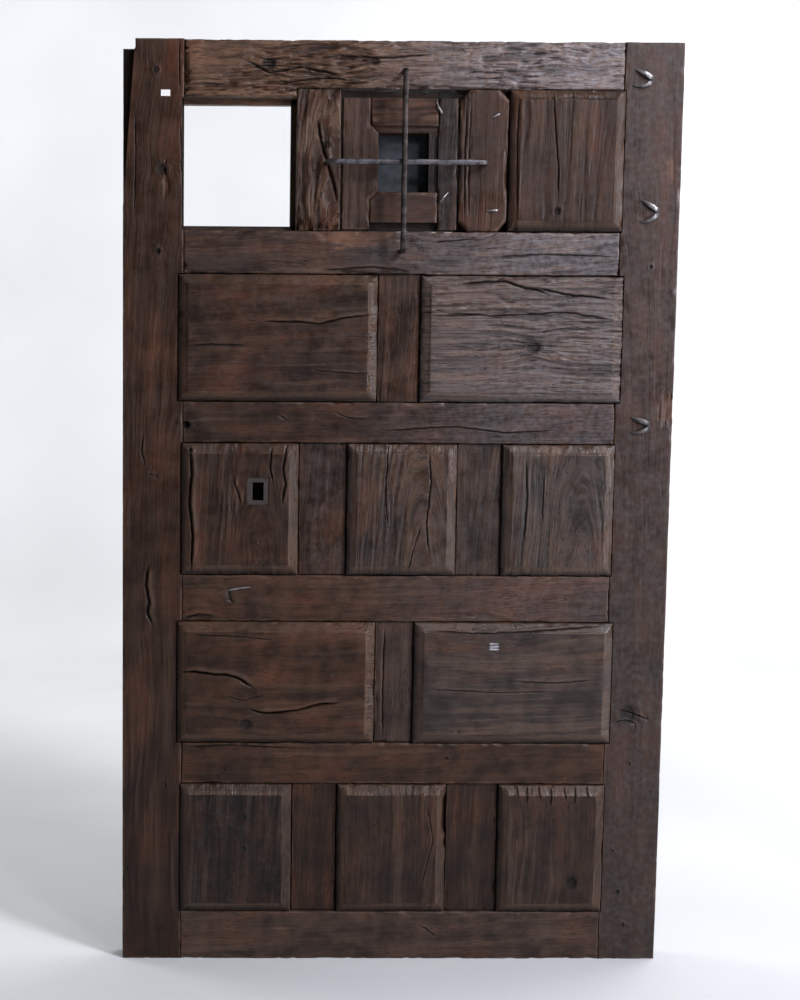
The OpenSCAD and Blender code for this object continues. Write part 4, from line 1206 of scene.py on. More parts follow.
def place(mesh: bpy.types.Mesh, name: str, body: str, slot: str,
          nodes: Sequence[str]) -> bpy.types.Object:
    """Puts a mesh in the scene as a piece of the object.

    Args:
        mesh: The mesh, already in its place.
        name: The piece's name.
        body: The body it rides on.
        slot: The name of its material slot, which is only logged.
        nodes: The CAD nodes it stands for.

    Returns:
        The object.
    """
    piece = bpy.data.objects.new(f"{name}_worn", mesh)
    bpy.context.scene.collection.objects.link(piece)
    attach(piece, body)
    if nodes:
        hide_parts(*nodes)
    LOG.info("%s: %d faces, body %s, slot %s", piece.name, len(mesh.polygons), body, slot)
    return piece


def inside(x: Array, z: Array, border: Sequence[Point]) -> Array:
    """Says which of many points lie inside an outline.

    Args:
        x: Points' X.
        z: Points' Z.
        border: The outline.

    Returns:
        True for each point inside.
    """
    odd = np.zeros(x.shape, bool)
    for (ax, az), (bx, bz) in zip(border, list(border[1:]) + [border[0]]):
        if az != bz:
            odd ^= ((az > z) != (bz > z)) & (x < (bx - ax) * (z - az) / (bz - az) + ax)
    return odd


def path_distance(x: Array, z: Array, points: Sequence[Point]) -> tuple[Array, ...]:
    """Measures points against an open path.

    Args:
        x: Points' X.
        z: Points' Z.
        points: The path.

    Returns:
        Distance to the path, share of its length at the nearest place, and the side (+1 or -1).
    """
    lengths = [math.dist(a, b) for a, b in zip(points, points[1:])]
    total, done = sum(lengths), 0.0
    best = np.full(x.shape, FAR)
    share, side = np.zeros_like(best), np.ones_like(best)
    for (ax, az), (bx, bz), length in zip(points, points[1:], lengths):
        ux, uz = (bx - ax) / length, (bz - az) / length
        along = np.clip((x - ax) * ux + (z - az) * uz, 0, length)
        px, pz = x - ax - along * ux, z - az - along * uz
        away = np.hypot(px, pz)
        closer = away < best
        best = np.where(closer, away, best)
        share = np.where(closer, (done + along) / total, share)
        side = np.where(closer, np.sign(ux * pz - uz * px), side)
        done += length
    return best, share, side


def border_distance(x: Array, z: Array, border: Sequence[Point]) -> tuple[Array, ...]:
    """Measures points against a closed outline that runs anticlockwise.

    Args:
        x: Points' X.
        z: Points' Z.
        border: The outline.

    Returns:
        Distance inside the outline, the inward direction's X and Z, and a length along it.
    """
    best = np.full(x.shape, FAR)
    nx, nz, along = np.zeros_like(best), np.zeros_like(best), np.zeros_like(best)
    done = 0.0
    for (ax, az), (bx, bz) in zip(border, border[1:] + border[:1]):
        length = math.dist((ax, az), (bx, bz))
        ux, uz = (bx - ax) / length, (bz - az) / length
        t = np.clip((x - ax) * ux + (z - az) * uz, 0, length)
        away = np.hypot(x - ax - t * ux, z - az - t * uz)
        closer = away < best
        best = np.where(closer, away, best)
        nx, nz = np.where(closer, -uz, nx), np.where(closer, ux, nz)
        along = np.where(closer, done + t, along)
        done += length
    return best, nx, nz, along


def split_loops(edges: list) -> list[list]:
    """Sorts rim edges into closed loops.

    Args:
        edges: The edges of one or more rims.

    Returns:
        One list of edges for each loop.
    """
    left, loops = set(edges), []
    while left:
        loop, queue = [], [left.pop()]
        while queue:
            edge = queue.pop()
            loop.append(edge)
            for v in edge.verts:
                for other in v.link_edges:
                    if other in left:
                        left.discard(other)
                        queue.append(other)
        loops.append(loop)
    return loops


# ---- The leaf's members


# Pine of closer grain that was kept under cover: fainter rings, few checks, an even tone
SMOOTH = {"figure": 0.24, "checks": 0.2, "relief_mm": 0.6, "evenness": 0.45}


@dataclass
class Leaf:
    """The framed leaf: stiles, rails, muntins and raised panels, placed from the CAD boxes."""

    lock: Box = field(default_factory=lambda: cad("lock_stile"))
    hang: Box = field(default_factory=lambda: cad("hanging_stile"))
    muntin_y: float = -20.0
    field_y: float = -38.0

    @property
    def front(self) -> float:
        """Depth of the frame's face."""
        return self.lock.y0

    def rows(self) -> dict[str, Point]:
        """Finds the rows between the rails.

        Returns:
            Each row's heights (bottom, top), the rows numbered from the top.
        """
        top = cad("muntin_1").z1 - MUNTIN_TENON
        out = {"1": (cad("second_rail").z1 - BACK_LIP, top)}
        rails = ["second_rail", "third_rail", "fourth_rail", "fifth_rail", "bottom_rail"]
        for n, (upper, lower) in enumerate(zip(rails, rails[1:]), 2):
            out[str(n)] = (cad(lower).z1 - BACK_LIP, cad(upper).z0 + BACK_LIP)
        return out

    def stiles(self) -> None:
        """Builds both stiles, with the steps that the panels lap into."""
        rows = self.rows()
        laps = {"1": NARROW_LAP, "2": WIDE_LAP, "3": NARROW_LAP, "4": WIDE_LAP, "5": NARROW_LAP}
        lock, hang = self.lock, self.hang
        left, right = [], []
        for name, (low, high) in rows.items():
            up_to = cad("top_rail").z0 + BACK_LIP if name == "1" else high
            left.append(floor(lock.x1 - laps[name], lock.x1 + STEP_PAST, low, up_to, LIP_Y))
            right.append(floor(hang.x0 - STEP_PAST, hang.x0 + laps[name], low, high, LIP_Y))
        # The arris that split off at the top: its width and length, how deep it went, and how
        # much shorter the layer behind it is
        broken_w, broken_l, broken_y, short = 24.0, 320.0, -8.0, 18.0
        edge, top = lock.x0 + broken_w, lock.z1
        past = lock.x0 - STEP_PAST
        left.append(Floor(((past, top - broken_l), (lock.x0, top - broken_l), (edge, top),
                           (past, top)), broken_y))
        outline = [(lock.x0, 0), (lock.x1, 0), (lock.x1, top), (edge, top), (edge, top - short),
                   (lock.x0, top - short)]
        lock_pine = OldPine("lock_stile_pine", evenness=0.4, tone=Tone.UMBER, red=0.6, film=0.1,
                            figure=0.35, checks=0.3)
        Board("lock_stile", lock_pine.build(), lock.x0, lock.x1, 0, top, self.front,
              run=Run.UPRIGHT, seed=3, slot="lock_stile_wood", outline=outline, floors=left,
              wear=Wear(erosion=0.8, arris=2.5, ragged=0.12, warp=1.0, chips=0.35, wander=10,
                        heart=90),
              cracks=[Crack([(-496, 812), (-499, 770), (-493, 735), (-497, 716), (-486, 688)],
                            2.4, 6, 1.2),
                      Crack([(-437, 1838), (-436, 1742)], 0.9, 3.0),
                      Crack([(-434, 1680), (-431, 1553)], 0.9, 3.0),
                      Crack([(-506, 1072), (-508, 1040), (-503, 1012)], 1.4, 3.0, 0.6),
                      Crack([(-495, 996), (-470, 990)], 1.2, 2.5, 0.8),
                      Crack([(-523, 1700), (-521, 1620), (-524, 1500)], 0.9, 2.5)],
              knots=[Knot(-470, 1590, 12, 2.5), Knot(-482, 1780, 7, 3.5),
                     Knot(-477, 1432, 7, 3.5), Knot(-537, 188, 4, 1.0), Knot(-459, 364, 4, 1.0)],
              chips=[Chip(-461, 1562, 7, 30, 4.5, 0.1, 0.9), Chip(-477, 63, 9, 12, 2.0, 0, 0.6),
                     Chip(-505, 640, 9, 30, 1.5, 0, 0.9)]).make()
        hanging_pine = OldPine("hanging_pine", evenness=0.4, tone=Tone.UMBER, film=0.7, red=0.35,
                               figure=0.12, checks=0.1, relief_mm=0.4, polish=0.28, painted_sheen=0.04)
        Board("hanging_stile", hanging_pine.build(), hang.x0, hang.x1, 0, hang.z1, self.front,
              run=Run.UPRIGHT, seed=4, slot="hanging_stile_wood", floors=right,
              wear=Wear(erosion=0.35, arris=2.5, ragged=0.12, warp=1.0, chips=0.35, wander=10,
                        heart=-100),
              knots=[Knot(476, 512, 22, 3.0), Knot(466, 142, 5, 2.0), Knot(482, 410, 4, 1.0),
                     Knot(453, 228, 4, 1.0), Knot(479, 73, 5, 1.0), Knot(492, 1408, 5, 1.5)],
              chips=[Chip(541, 1132, 24, 34, 4.0, 0.2, 1.0), Chip(488, 505, 24, 15, 2.5, 0, 1.2),
                     Chip(527, 1600, 8, 26, 0.8, 0.25, 0.9), Chip(512, 46, 6, 6, 1.5)],
              cracks=[Crack([(455, 522), (475, 516), (500, 508), (522, 500)], 1.4, 3.5, 0.8),
                      Crack([(447, 495), (470, 500), (492, 492)], 1.2, 3.0, 0.6)]).make()

    def rails(self) -> None:
        """Builds the six rails."""
        x0, x1 = self.lock.x1, self.hang.x0
        pane = cad("muntin_1").x0 + BACK_LIP
        wicket = (cad("wicket_free_stile").x0 - 2.5, cad("wicket_hinge_stile").x1 + 2.5)
        top, rows = cad("top_rail"), self.rows()
        low, high = top.z0 + BACK_LIP, rows["1"][1]
        border = [(x0, low), (pane, low), (pane, high), (x1, high), (x1, top.z1), (x0, top.z1)]
        weathered = OldPine("top_rail_pine", evenness=0.4, tone=Tone.GOLD, relief_mm=1.8, film=0.5,
                            red=0.5, checks=1.0, figure=0.8, gloss=0.36, painted_sheen=0.75, polish=0.4)
        Board("top_rail", weathered.build(), x0, x1, low, top.z1, self.front, seed=11,
              slot="top_rail_wood", outline=border, lips=(0, 0, BACK_LIP, 0),
              no_lip=(*wicket, True), pitch=(4.5, 1.5),
              wear=Wear(erosion=6.0, ridge=5.5, run=42, arris=3.5, ragged=0.8, warp=3.0,
                        patchy=0.6, wander=12, heart=130, taper=0.04),
              knots=[Knot(-262, 1794, 15, 3.0), Knot(-58, 1800, 12, 2.5)],
              chips=[Chip(-425, 1785, 7, 48, 9, 0, 1.0), Chip(8, 1751, 34, 7, 14, 0, 0.7),
                     Chip(92, 1750, 40, 4, 9, 0, 0.7), Chip(-60, 1829, 80, 9, 3, 0, 1.0)],
              cracks=[Crack([(-310, 1800), (-262, 1776), (-200, 1788), (-120, 1772)], 2.2, 6, 1.2),
                      Crack([(-150, 1812), (-40, 1806), (60, 1814)], 1.6, 5, 0.8),
                      Crack([(-240, 1757), (-150, 1768), (-90, 1762)], 1.6, 5, 0.6)]).make()
        rail_2 = Wear(erosion=2.4, ridge=7, run=80, arris=3, ragged=0.7, wander=12, heart=70)
        plain = Wear(erosion=0.9, arris=2.2, ragged=0.5, wander=10, heart=80)
        specs = {
            "second_rail": (12, rail_2, dict(tone=Tone.BROWN, relief_mm=1.3, painted_sheen=0.42,
                                             polish=0.32), dict(
                chips=[Chip(-90, 1462, 70, 20, 2.2, 0.35, 1.2), Chip(16, 1447, 20, 18, 2.5, 0, 1),
                       Chip(-30, 1391, 60, 6, 7, 0, 1.0)],
                cracks=[Crack([(-160, 1396), (-60, 1404), (20, 1398)], 1.6, 4, 0.5),
                        Crack([(180, 1425), (290, 1431), (420, 1428)], 1.2, 3, 0.5),
                        Crack([(60, 1452), (150, 1462)], 1.2, 3, 0.5)])),
            "third_rail": (13, plain, dict(tone=Tone.UMBER, film=0.3, painted_sheen=0.2), dict(
                knots=[Knot(-421, 1093, 11, 9.0)],
                cracks=[Crack([(-40, 1082), (110, 1092), (210, 1080), (330, 1086)], 1.3, 3.5, 0.7),
                        Crack([(-130, 1120), (-100, 1108), (-60, 1106)], 1.2, 3.0, 0.7),
                        Crack([(-235, 1112), (-222, 1104)], 1.6, 2.5, 1.0)])),
            "fourth_rail": (14, plain, dict(tone=Tone.WARM, red=0.6, film=0.2, painted_sheen=0.1,
                                            polish=0.26), dict(
                cracks=[Crack([(-427, 704), (-395, 712), (-360, 709)], 2.0, 4, 0.5),
                        Crack([(-334, 764), (-332, 748), (-326, 736)], 2.2, 4, 0.6)],
                chips=[Chip(-400, 703, 26, 6, 6, 0, 0.8), Chip(130, 712, 90, 5, 3, 0, 1.0)])),
            "fifth_rail": (15, plain, dict(tone=Tone.WARM, red=0.5), dict(
                knots=[Knot(110, 420, 5, 1.0), Knot(-340, 395, 4, 1.0)],
                cracks=[Crack([(-426, 442), (-330, 446), (-200, 440)], 1.4, 3.5, 0.5)])),
            "bottom_rail": (16, plain, dict(tone=Tone.PALE, red=0.6, film=0.2), dict(
                chips=[Chip(-212, 64, 26, 3, 2.0, 0.3, 0.6), Chip(345, 1, 38, 6, 5, 0.2, 0.6)],
                cracks=[Crack([(62, 70), (80, 60), (96, 46)], 1.2, 2.5, 1.0)])),
        }
        for node, (seed, wear, finish, more) in specs.items():
            box = cad(node)
            last = node == "bottom_rail"
            Board(node, OldPine(f"{node}_pine", **finish).build(), x0, x1,
                  0.0 if last else box.z0 + BACK_LIP, box.z1 - BACK_LIP, self.front, seed=seed,
                  slot=f"{node}_wood", lips=(0, 0, 0 if last else BACK_LIP, BACK_LIP),
                  no_lip=(*wicket, False) if node == "second_rail" else None, wear=wear,
                  **more).make()

    def muntins(self) -> None:
        """Builds the eight muntins between the rails."""
        rows = self.rows()
        plain = Wear(erosion=0.8, arris=1.8, ragged=0.3, heart=60)
        rough = Wear(erosion=5.5, ridge=7, run=55, arris=2.2, ragged=0.15, warp=2.5, wander=14,
                     heart=40, patchy=0.45)
        gold = dict(evenness=0.4, tone=Tone.WARM, relief_mm=1.8, red=0.9, checks=1.0, figure=0.8,
                    film=0.25)
        specs = {
            "muntin_1": ("1", 21, rough, gold, dict(
                cracks=[Crack([(-168, 1692), (-158, 1640), (-133, 1565), (-128, 1530)], 2.4, 7, 1)],
                chips=[Chip(-190, 1484, 16, 14, 10, 0.3, 1.2), Chip(-150, 1480, 20, 9, 9, 0, 1.2)],
                knots=[Knot(-148, 1640, 9, 2.0)])),
            "muntin_2": ("2", 22, plain, dict(tone=Tone.UMBER, red=0.7), {}),
            "muntin_3_left": ("3", 23, plain, dict(tone=Tone.BROWN, film=1.0, red=0.15), {}),
            "muntin_3_right": ("3", 24, plain, dict(tone=Tone.GREY, film=0.8, red=0.2), {}),
            "muntin_4": ("4", 25, plain, dict(tone=Tone.GREY, red=0.5, film=0.4), dict(
                cracks=[Crack([(-20, 462), (-22, 560), (-19, 690)], 1.3, 3.0, 1.2)])),
            "muntin_5_left": ("5", 26, plain, dict(tone=Tone.UMBER, red=0.8, film=0.1), {}),
            "muntin_5_right": ("5", 27, plain, dict(tone=Tone.UMBER, red=0.8, film=0.15), {}),
        }
        for node, (row, seed, wear, finish, more) in specs.items():
            box, (low, high) = cad(node), rows[row]
            lip_r = 0.0 if node == "muntin_1" else BACK_LIP
            Board(node, OldPine(f"{node}_pine", **finish).build(), box.x0 + BACK_LIP,
                  box.x1 - lip_r, low, high, self.muntin_y, run=Run.UPRIGHT, seed=seed, wear=wear,
                  lips=(BACK_LIP, lip_r, -BACK_LIP, -BACK_LIP), shaded_ends=0.9, **more).make()
        box, (low, high) = cad("clipped_muntin"), rows["1"]
        a, b, cw, ch = box.x0, box.x1 - BACK_LIP, 18.0, 20.0
        border = [(a, low + ch), (a + cw, low), (b - cw, low), (b, low + ch), (b, high - ch),
                  (b - cw, high), (a + cw, high), (a, high - ch)]
        tone = OldPine("clipped_pine", tone=Tone.UMBER, film=0.35, red=0.4, **SMOOTH).build()
        Board("clipped_muntin", tone, a, b, low, high, self.front, run=Run.UPRIGHT, seed=28,
              outline=border, square_back=BACK_LIP, wear=Wear(erosion=0.9, arris=4, ragged=0.3),
              cracks=[Crack([(123, 1728), (121, 1610), (123, 1494)], 1.2, 2.5, 1.0),
                      Crack([(131, 1730), (129, 1610), (131, 1492)], 0.9, 2.0)],
              chips=[Chip(204, 1600, 5, 34, 3.5, 0, 0.9)]).make()

    def panels(self) -> None:
        """Builds the eleven raised panels."""
        plain = Wear(erosion=0.9, arris=2.0, ragged=0.5, warp=1.8, wander=9)
        grainy = Wear(erosion=1.7, ridge=5.5, arris=2.0, ragged=0.6, warp=1.8, wander=9, heart=45,
                      taper=0.12, patchy=0.8)
        torn = Wear(erosion=3.4, ridge=4.6, run=110, arris=2.5, ragged=0.9, warp=2.0, wander=5,
                    patchy=0.5, heart=260, taper=0.02)
        across, up = Run.ACROSS, Run.UPRIGHT
        specs = {
            "panel_1": (up, 31, plain, dict(tone=Tone.UMBER, red=0.7, film=0.35, **SMOOTH), dict(
                cracks=[Crack([(288, 1742), (294, 1669), (302, 1592), (303, 1530)], 1.2, 3.0),
                        Crack([(222, 1735), (221, 1610), (224, 1500)], 1.2, 2.5, 1.0),
                        Crack([(230, 1729), (330, 1731), (415, 1728)], 1.2, 2.5, 0.8)],
                knots=[Knot(302, 1514, 9, 2.5)],
                chips=[Chip(208, 1476, 17, 18, 6, 0.1, 0.4)])),
            "panel_2_left": (across, 32, plain, dict(tone=Tone.UMBER, red=0.55, film=0.45), dict(
                cracks=[Crack([(-274, 1297), (-199, 1296), (-160, 1292), (-120, 1303),
                               (-52, 1312)], 1.5, 5, 1.2),
                        Crack([(-420, 1248), (-380, 1252), (-300, 1250)], 1.2, 2.5, 0.6),
                        Crack([(-180, 1203), (-100, 1196), (-55, 1197)], 1.0, 2.5, 0.5)],
                chips=[Chip(-52, 1384, 22, 9, 6, 0, 1.0), Chip(-150, 1310, 20, 14, 2, 0.1, 1.3)])),
            "panel_2_right": (across, 33, torn, dict(
                evenness=0.4, tone=Tone.PALE, red=0.5, film=0.5, checks=1.0, relief_mm=1.5,
                figure=0.8, painted_sheen=0.28, polish=0.36), dict(
                cracks=[Crack([(110, 1371), (160, 1376), (205, 1378), (240, 1366), (271, 1360),
                               (290, 1350)], 2.4, 7, 1.5),
                        Crack([(262, 1366), (330, 1352), (410, 1345)], 1.8, 6, 1.0),
                        Crack([(62, 1318), (180, 1310), (330, 1318), (430, 1300)], 1.3, 3.5, 0.8)],
                knots=[Knot(264, 1249, 16, 2.5)], pitch=(4.5, 1.3),
                chips=[Chip(140, 1345, 95, 22, 2.5, 0.12, 1.4),
                       Chip(230, 1388, 60, 10, 6, 0.1, 1.3),
                       Chip(300, 1228, 26, 6, 1.5, 0.4, 1.3)])),
            "panel_3_left": (up, 34, grainy, dict(tone=Tone.UMBER, red=0.8, film=0.25), dict(
                cracks=[Crack([(-412, 1056), (-409, 1000), (-413, 943), (-407, 870), (-410, 796)],
                              2.2, 8, 2.0),
                        Crack([(-221, 1053), (-228, 1003), (-223, 975), (-230, 935)], 1.6, 5, 1.0),
                        Crack([(-251, 1049), (-254, 1009), (-248, 980)], 1.4, 4, 0.6),
                        Crack([(-329, 988), (-318, 962), (-312, 938)], 1.6, 3, 1.4)],
                chips=[Chip(-318, 955, 15, 26, 3.0, 0.05, 1.3), Chip(-283, 945, 22, 10, 2.0, 0, 1)],
                knots=[Knot(-412, 1043, 6, 2.0)])),
            "panel_3_middle": (up, 35, grainy, dict(tone=Tone.BROWN, red=0.4, film=0.8,
                                                    polish=0.3, figure=0.8), dict(
                cracks=[Crack([(-20, 1054), (-24, 960), (-18, 880)], 1.0, 2.5, 0.5),
                        Crack([(60, 1050), (66, 980), (58, 900), (64, 830)], 1.2, 3, 0.8),
                        Crack([(22, 800), (34, 850), (48, 900)], 1.0, 2.5, 0.5)])),
            "panel_3_right": (up, 36, grainy, dict(tone=Tone.GREY, red=0.5, film=0.5, polish=0.35,
                                                   figure=0.8), dict(
                cracks=[Crack([(254, 1030), (258, 950), (252, 860)], 1.1, 3, 0.7),
                        Crack([(290, 1000), (288, 900)], 1.0, 2.5, 0.5)])),
            "panel_4_left": (across, 37, plain, dict(tone=Tone.WARM, red=0.5, film=0.2), dict(
                cracks=[Crack([(-432, 597), (-400, 599), (-370, 594), (-335, 592), (-309, 584),
                               (-297, 574), (-282, 566)], 2.2, 9, 2.5),
                        Crack([(-296, 524), (-272, 517), (-248, 515), (-195, 520), (-150, 533),
                               (-106, 537)], 2.0, 8, 2.2),
                        Crack([(-340, 550), (-305, 540), (-262, 552)], 0.9, 2.5, 0.4),
                        Crack([(-418, 675), (-330, 671), (-240, 664)], 1.1, 2.5, 0.4)],
                chips=[Chip(-262, 590, 22, 24, 1.2, 0.1, 1.4)],
                knots=[Knot(-298, 492, 14, 1.5)])),
            "panel_4_right": (across, 38, Wear(erosion=1.2, ragged=0.5, warp=1.8, wander=9), dict(
                tone=Tone.GREY, red=0.6, film=0.4, polish=0.3), dict(
                cracks=[Crack([(60, 682), (180, 678), (300, 684), (420, 693)], 1.4, 3.5, 1.2),
                        Crack([(240, 580), (330, 578), (400, 584)], 1.3, 3, 0.8),
                        Crack([(130, 470), (133, 486)], 1.6, 2.5, 0.8),
                        Crack([(60, 565), (200, 558), (330, 560)], 1.1, 2.5, 0.5)],
                dabs=[Chip(199, 652, 9, 8, 0)])),
            "panel_5_left": (up, 39, plain, dict(tone=Tone.SHADE, red=0.35, film=0.5), dict(
                knots=[Knot(-300, 300, 7, 0.8), Knot(-300, 235, 6, 0.8)])),
            "panel_5_middle": (up, 40, plain, dict(tone=Tone.BROWN, red=0.5, film=0.35), dict(
                cracks=[Crack([(60, 150), (84, 250), (70, 330)], 1.0, 2.0, 0.5)],
                chips=[Chip(112, 306, 10, 58, 20, 0.0, 0.5)])),
            "panel_5_right": (up, 41, plain, dict(tone=Tone.BROWN, red=0.4, film=0.4), dict(
                cracks=[Crack([(x, 364), (x + lean, 364 - length)], 1.2, 2.6, 0.3)
                        for x, lean, length in (
                            (252, 2, 22), (274, -1, 34), (297, 3, 26), (322, 0, 40),
                            (349, 4, 30), (372, -2, 36), (395, 2, 24))],
                knots=[Knot(368, 165, 16, 3.0)])),
        }
        key = cad("keyhole_plate")
        for node, (run, seed, wear, finish, more) in specs.items():
            box = cad(node)
            x0, x1 = box.x0 + TONGUE, box.x1 - TONGUE
            lip_l, lip_r = BACK_LIP, BACK_LIP
            if x0 < self.lock.x1:
                lip_l = self.lock.x1 - x0
            if x1 > self.hang.x0:
                lip_r = x1 - self.hang.x0
            if node == "panel_3_left":
                more = {**more, "floors": [floor(key.x0, key.x1, key.z0, key.z1, key.y1)],
                        "hole": self.keyhole(key)}
            Board(node, OldPine(f"{node}_pine", **finish).build(), x0 + PANEL_GAP,
                  x1 - PANEL_GAP, box.z0 + TONGUE + PANEL_GAP, box.z1 - TONGUE - PANEL_GAP,
                  self.field_y, run=run, seed=seed, slot=f"{node}_wood", raised=BEVEL_DROP,
                  lips=(-lip_l, -lip_r, -BACK_LIP, -BACK_LIP), wear=wear, **more).make()

    @staticmethod
    def keyhole(key: Box) -> Rect:
        """Centres the keyhole in its plate.

        Args:
            key: The plate's box.

        Returns:
            The keyhole's sides (x0, x1, z0, z1).
        """
        half_w, half_h = 11.0, 18.0
        x, z = (key.x0 + key.x1) / 2, (key.z0 + key.z1) / 2
        return x - half_w, x + half_w, z - half_h, z + half_h

    def build(self) -> None:
        """Builds all the leaf's wooden members."""
        self.stiles()
        self.rails()
        self.muntins()
        self.panels()


@dataclass
class Wicket:
    """The little framed door behind the grille."""

    shoulder: float = 16.0
    margin: float = 15.0
    moulding: float = 13.0
    rebate: float = 12.0
    stile_edge: float = 18.0

    def build(self) -> None:
        """Builds the wicket's four members."""
        free, hinge = cad("wicket_free_stile"), cad("wicket_hinge_stile")
        top, low = cad("wicket_top_rail"), cad("wicket_bottom_rail")
        tone = OldPine("wicket_pine", tone=Tone.BROWN, red=0.7, film=0.4, **SMOOTH).build()
        y, deep = free.y0, free.y0 + self.rebate
        sill, head = low.z1, top.z0
        inner, step = free.x1 - self.shoulder, self.shoulder
        border = [(free.x0, free.z0), (inner, free.z0), (inner, sill - step), (free.x1, sill),
                  (free.x1, head), (inner, head + step), (inner, free.z1), (free.x0, free.z1)]
        wear = Wear(erosion=0.7, arris=3, ragged=0.1)
        board = partial(Board, body="wicket", slot="wicket_wood")
        board("wicket_free_stile", tone, free.x0, free.x1, free.z0, free.z1, y, run=Run.UPRIGHT,
              seed=51, outline=border, wear=wear,
              floors=[floor(free.x0 - 1, free.x1 + 1, free.z1 - self.margin, free.z1 + 1, deep),
                      floor(free.x0 - 1, free.x0 + 2.5, free.z0 - 1, free.z1 + 1, y + 5)]).make()
        edge = hinge.x0 + self.stile_edge
        border = [(edge, hinge.z0), (hinge.x1, hinge.z0), (hinge.x1, hinge.z1), (edge, hinge.z1),
                  (edge, head), (hinge.x0, head), (hinge.x0, sill), (edge, sill)]
        dark = OldPine("wicket_hinge_pine", tone=Tone.SHADE, red=0.3, film=0.5, **SMOOTH).build()
        board("wicket_hinge_stile", dark, hinge.x0, hinge.x1, hinge.z0, hinge.z1, y,
              run=Run.UPRIGHT, seed=52, outline=border, wear=wear,
              floors=[floor(edge - 1, hinge.x1 + 1, hinge.z1 - self.margin, hinge.z1 + 1, deep),
                      floor(hinge.x0 - 1, edge, sill - 1, head + 1, y + 6)]).make()
        border = [(inner, head + step), (free.x1, head), (edge, head), (edge, free.z1),
                  (inner, free.z1)]
        warm = OldPine("wicket_rail_pine", tone=Tone.WARM, red=0.7, figure=0.8).build()
        board("wicket_top_rail", warm, inner, edge, head, free.z1, y, seed=53, outline=border,
              wear=Wear(erosion=2.0, ridge=7, run=60, arris=3, ragged=1.2),
              floors=[floor(inner - 1, edge + 1, free.z1 - self.margin, free.z1 + 1, deep),
                      floor(inner - 1, edge + 1, head - 1, head + self.moulding, y + 6)]).make()
        border = [(inner, free.z0), (edge, free.z0), (edge, sill), (free.x1, sill),
                  (inner, sill - step)]
        board("wicket_bottom_rail", tone, inner, edge, free.z0, sill, y, seed=54,
              outline=border, wear=wear,
              floors=[floor(inner - 1, edge + 1, free.z0 - 1, free.z0 + self.margin, deep)]).make()


# ---- Ironwork


@dataclass(frozen=True)
class Station:
    """One section of a forged bar: its centre and its half sizes across and in depth."""

    x: float
    y: float
    z: float
    across: float
    depth: float
    wear: float = 0.0


def forge(bm: BMesh, stations: Sequence[Station], side: Vector, seed: int,
          corner: float = 0.45, hammer: float = 0.05) -> list[tuple[int, float]]:
    """Draws a bar through its stations, as a smith would.

    Args:
        bm: The bmesh that takes the bar.
        stations: The bar's sections in order.
        side: A direction that the sections' first half size keeps to.
        seed: Which hammer marks it gets.
        corner: How square the section is; 1 is round.
        hammer: How uneven the hammered faces are, as a share of their size.

    Returns:
        Each new vertex's index and how rubbed it is.
    """
    rng = np.random.default_rng(seed)
    points = [Vector((s.x, s.y, s.z)) for s in stations]
    made = bmesh.ops.create_circle(bm, cap_ends=True, segments=SECTION_SIDES, radius=1.0)
    face = next(f for f in made["verts"][0].link_faces)
    wear: list[tuple[int, float]] = []
    for n, station in enumerate(stations):
        ahead = points[min(n + 1, len(points) - 1)] - points[max(n - 1, 0)]
        ahead.normalize()
        u = (side - ahead * side.dot(ahead)).normalized()
        v = ahead.cross(u)
        if n:
            face = bmesh.ops.extrude_discrete_faces(bm, faces=[face])["faces"][0]
        dents = 1 + hammer * (rng.random(SECTION_SIDES) - 0.5) * 2
        for k, vert in enumerate(face.verts):
            angle = 2 * math.pi * (k + 0.5) / SECTION_SIDES
            cu = math.copysign(abs(math.cos(angle)) ** corner, math.cos(angle))
            cv = math.copysign(abs(math.sin(angle)) ** corner, math.sin(angle))
            vert.co = points[n] + u * (station.across * cu * dents[k]) + v * (
                station.depth * cv * dents[k])
        bm.verts.index_update()
        wear += [(vert.index, station.wear) for vert in face.verts]
    return wear


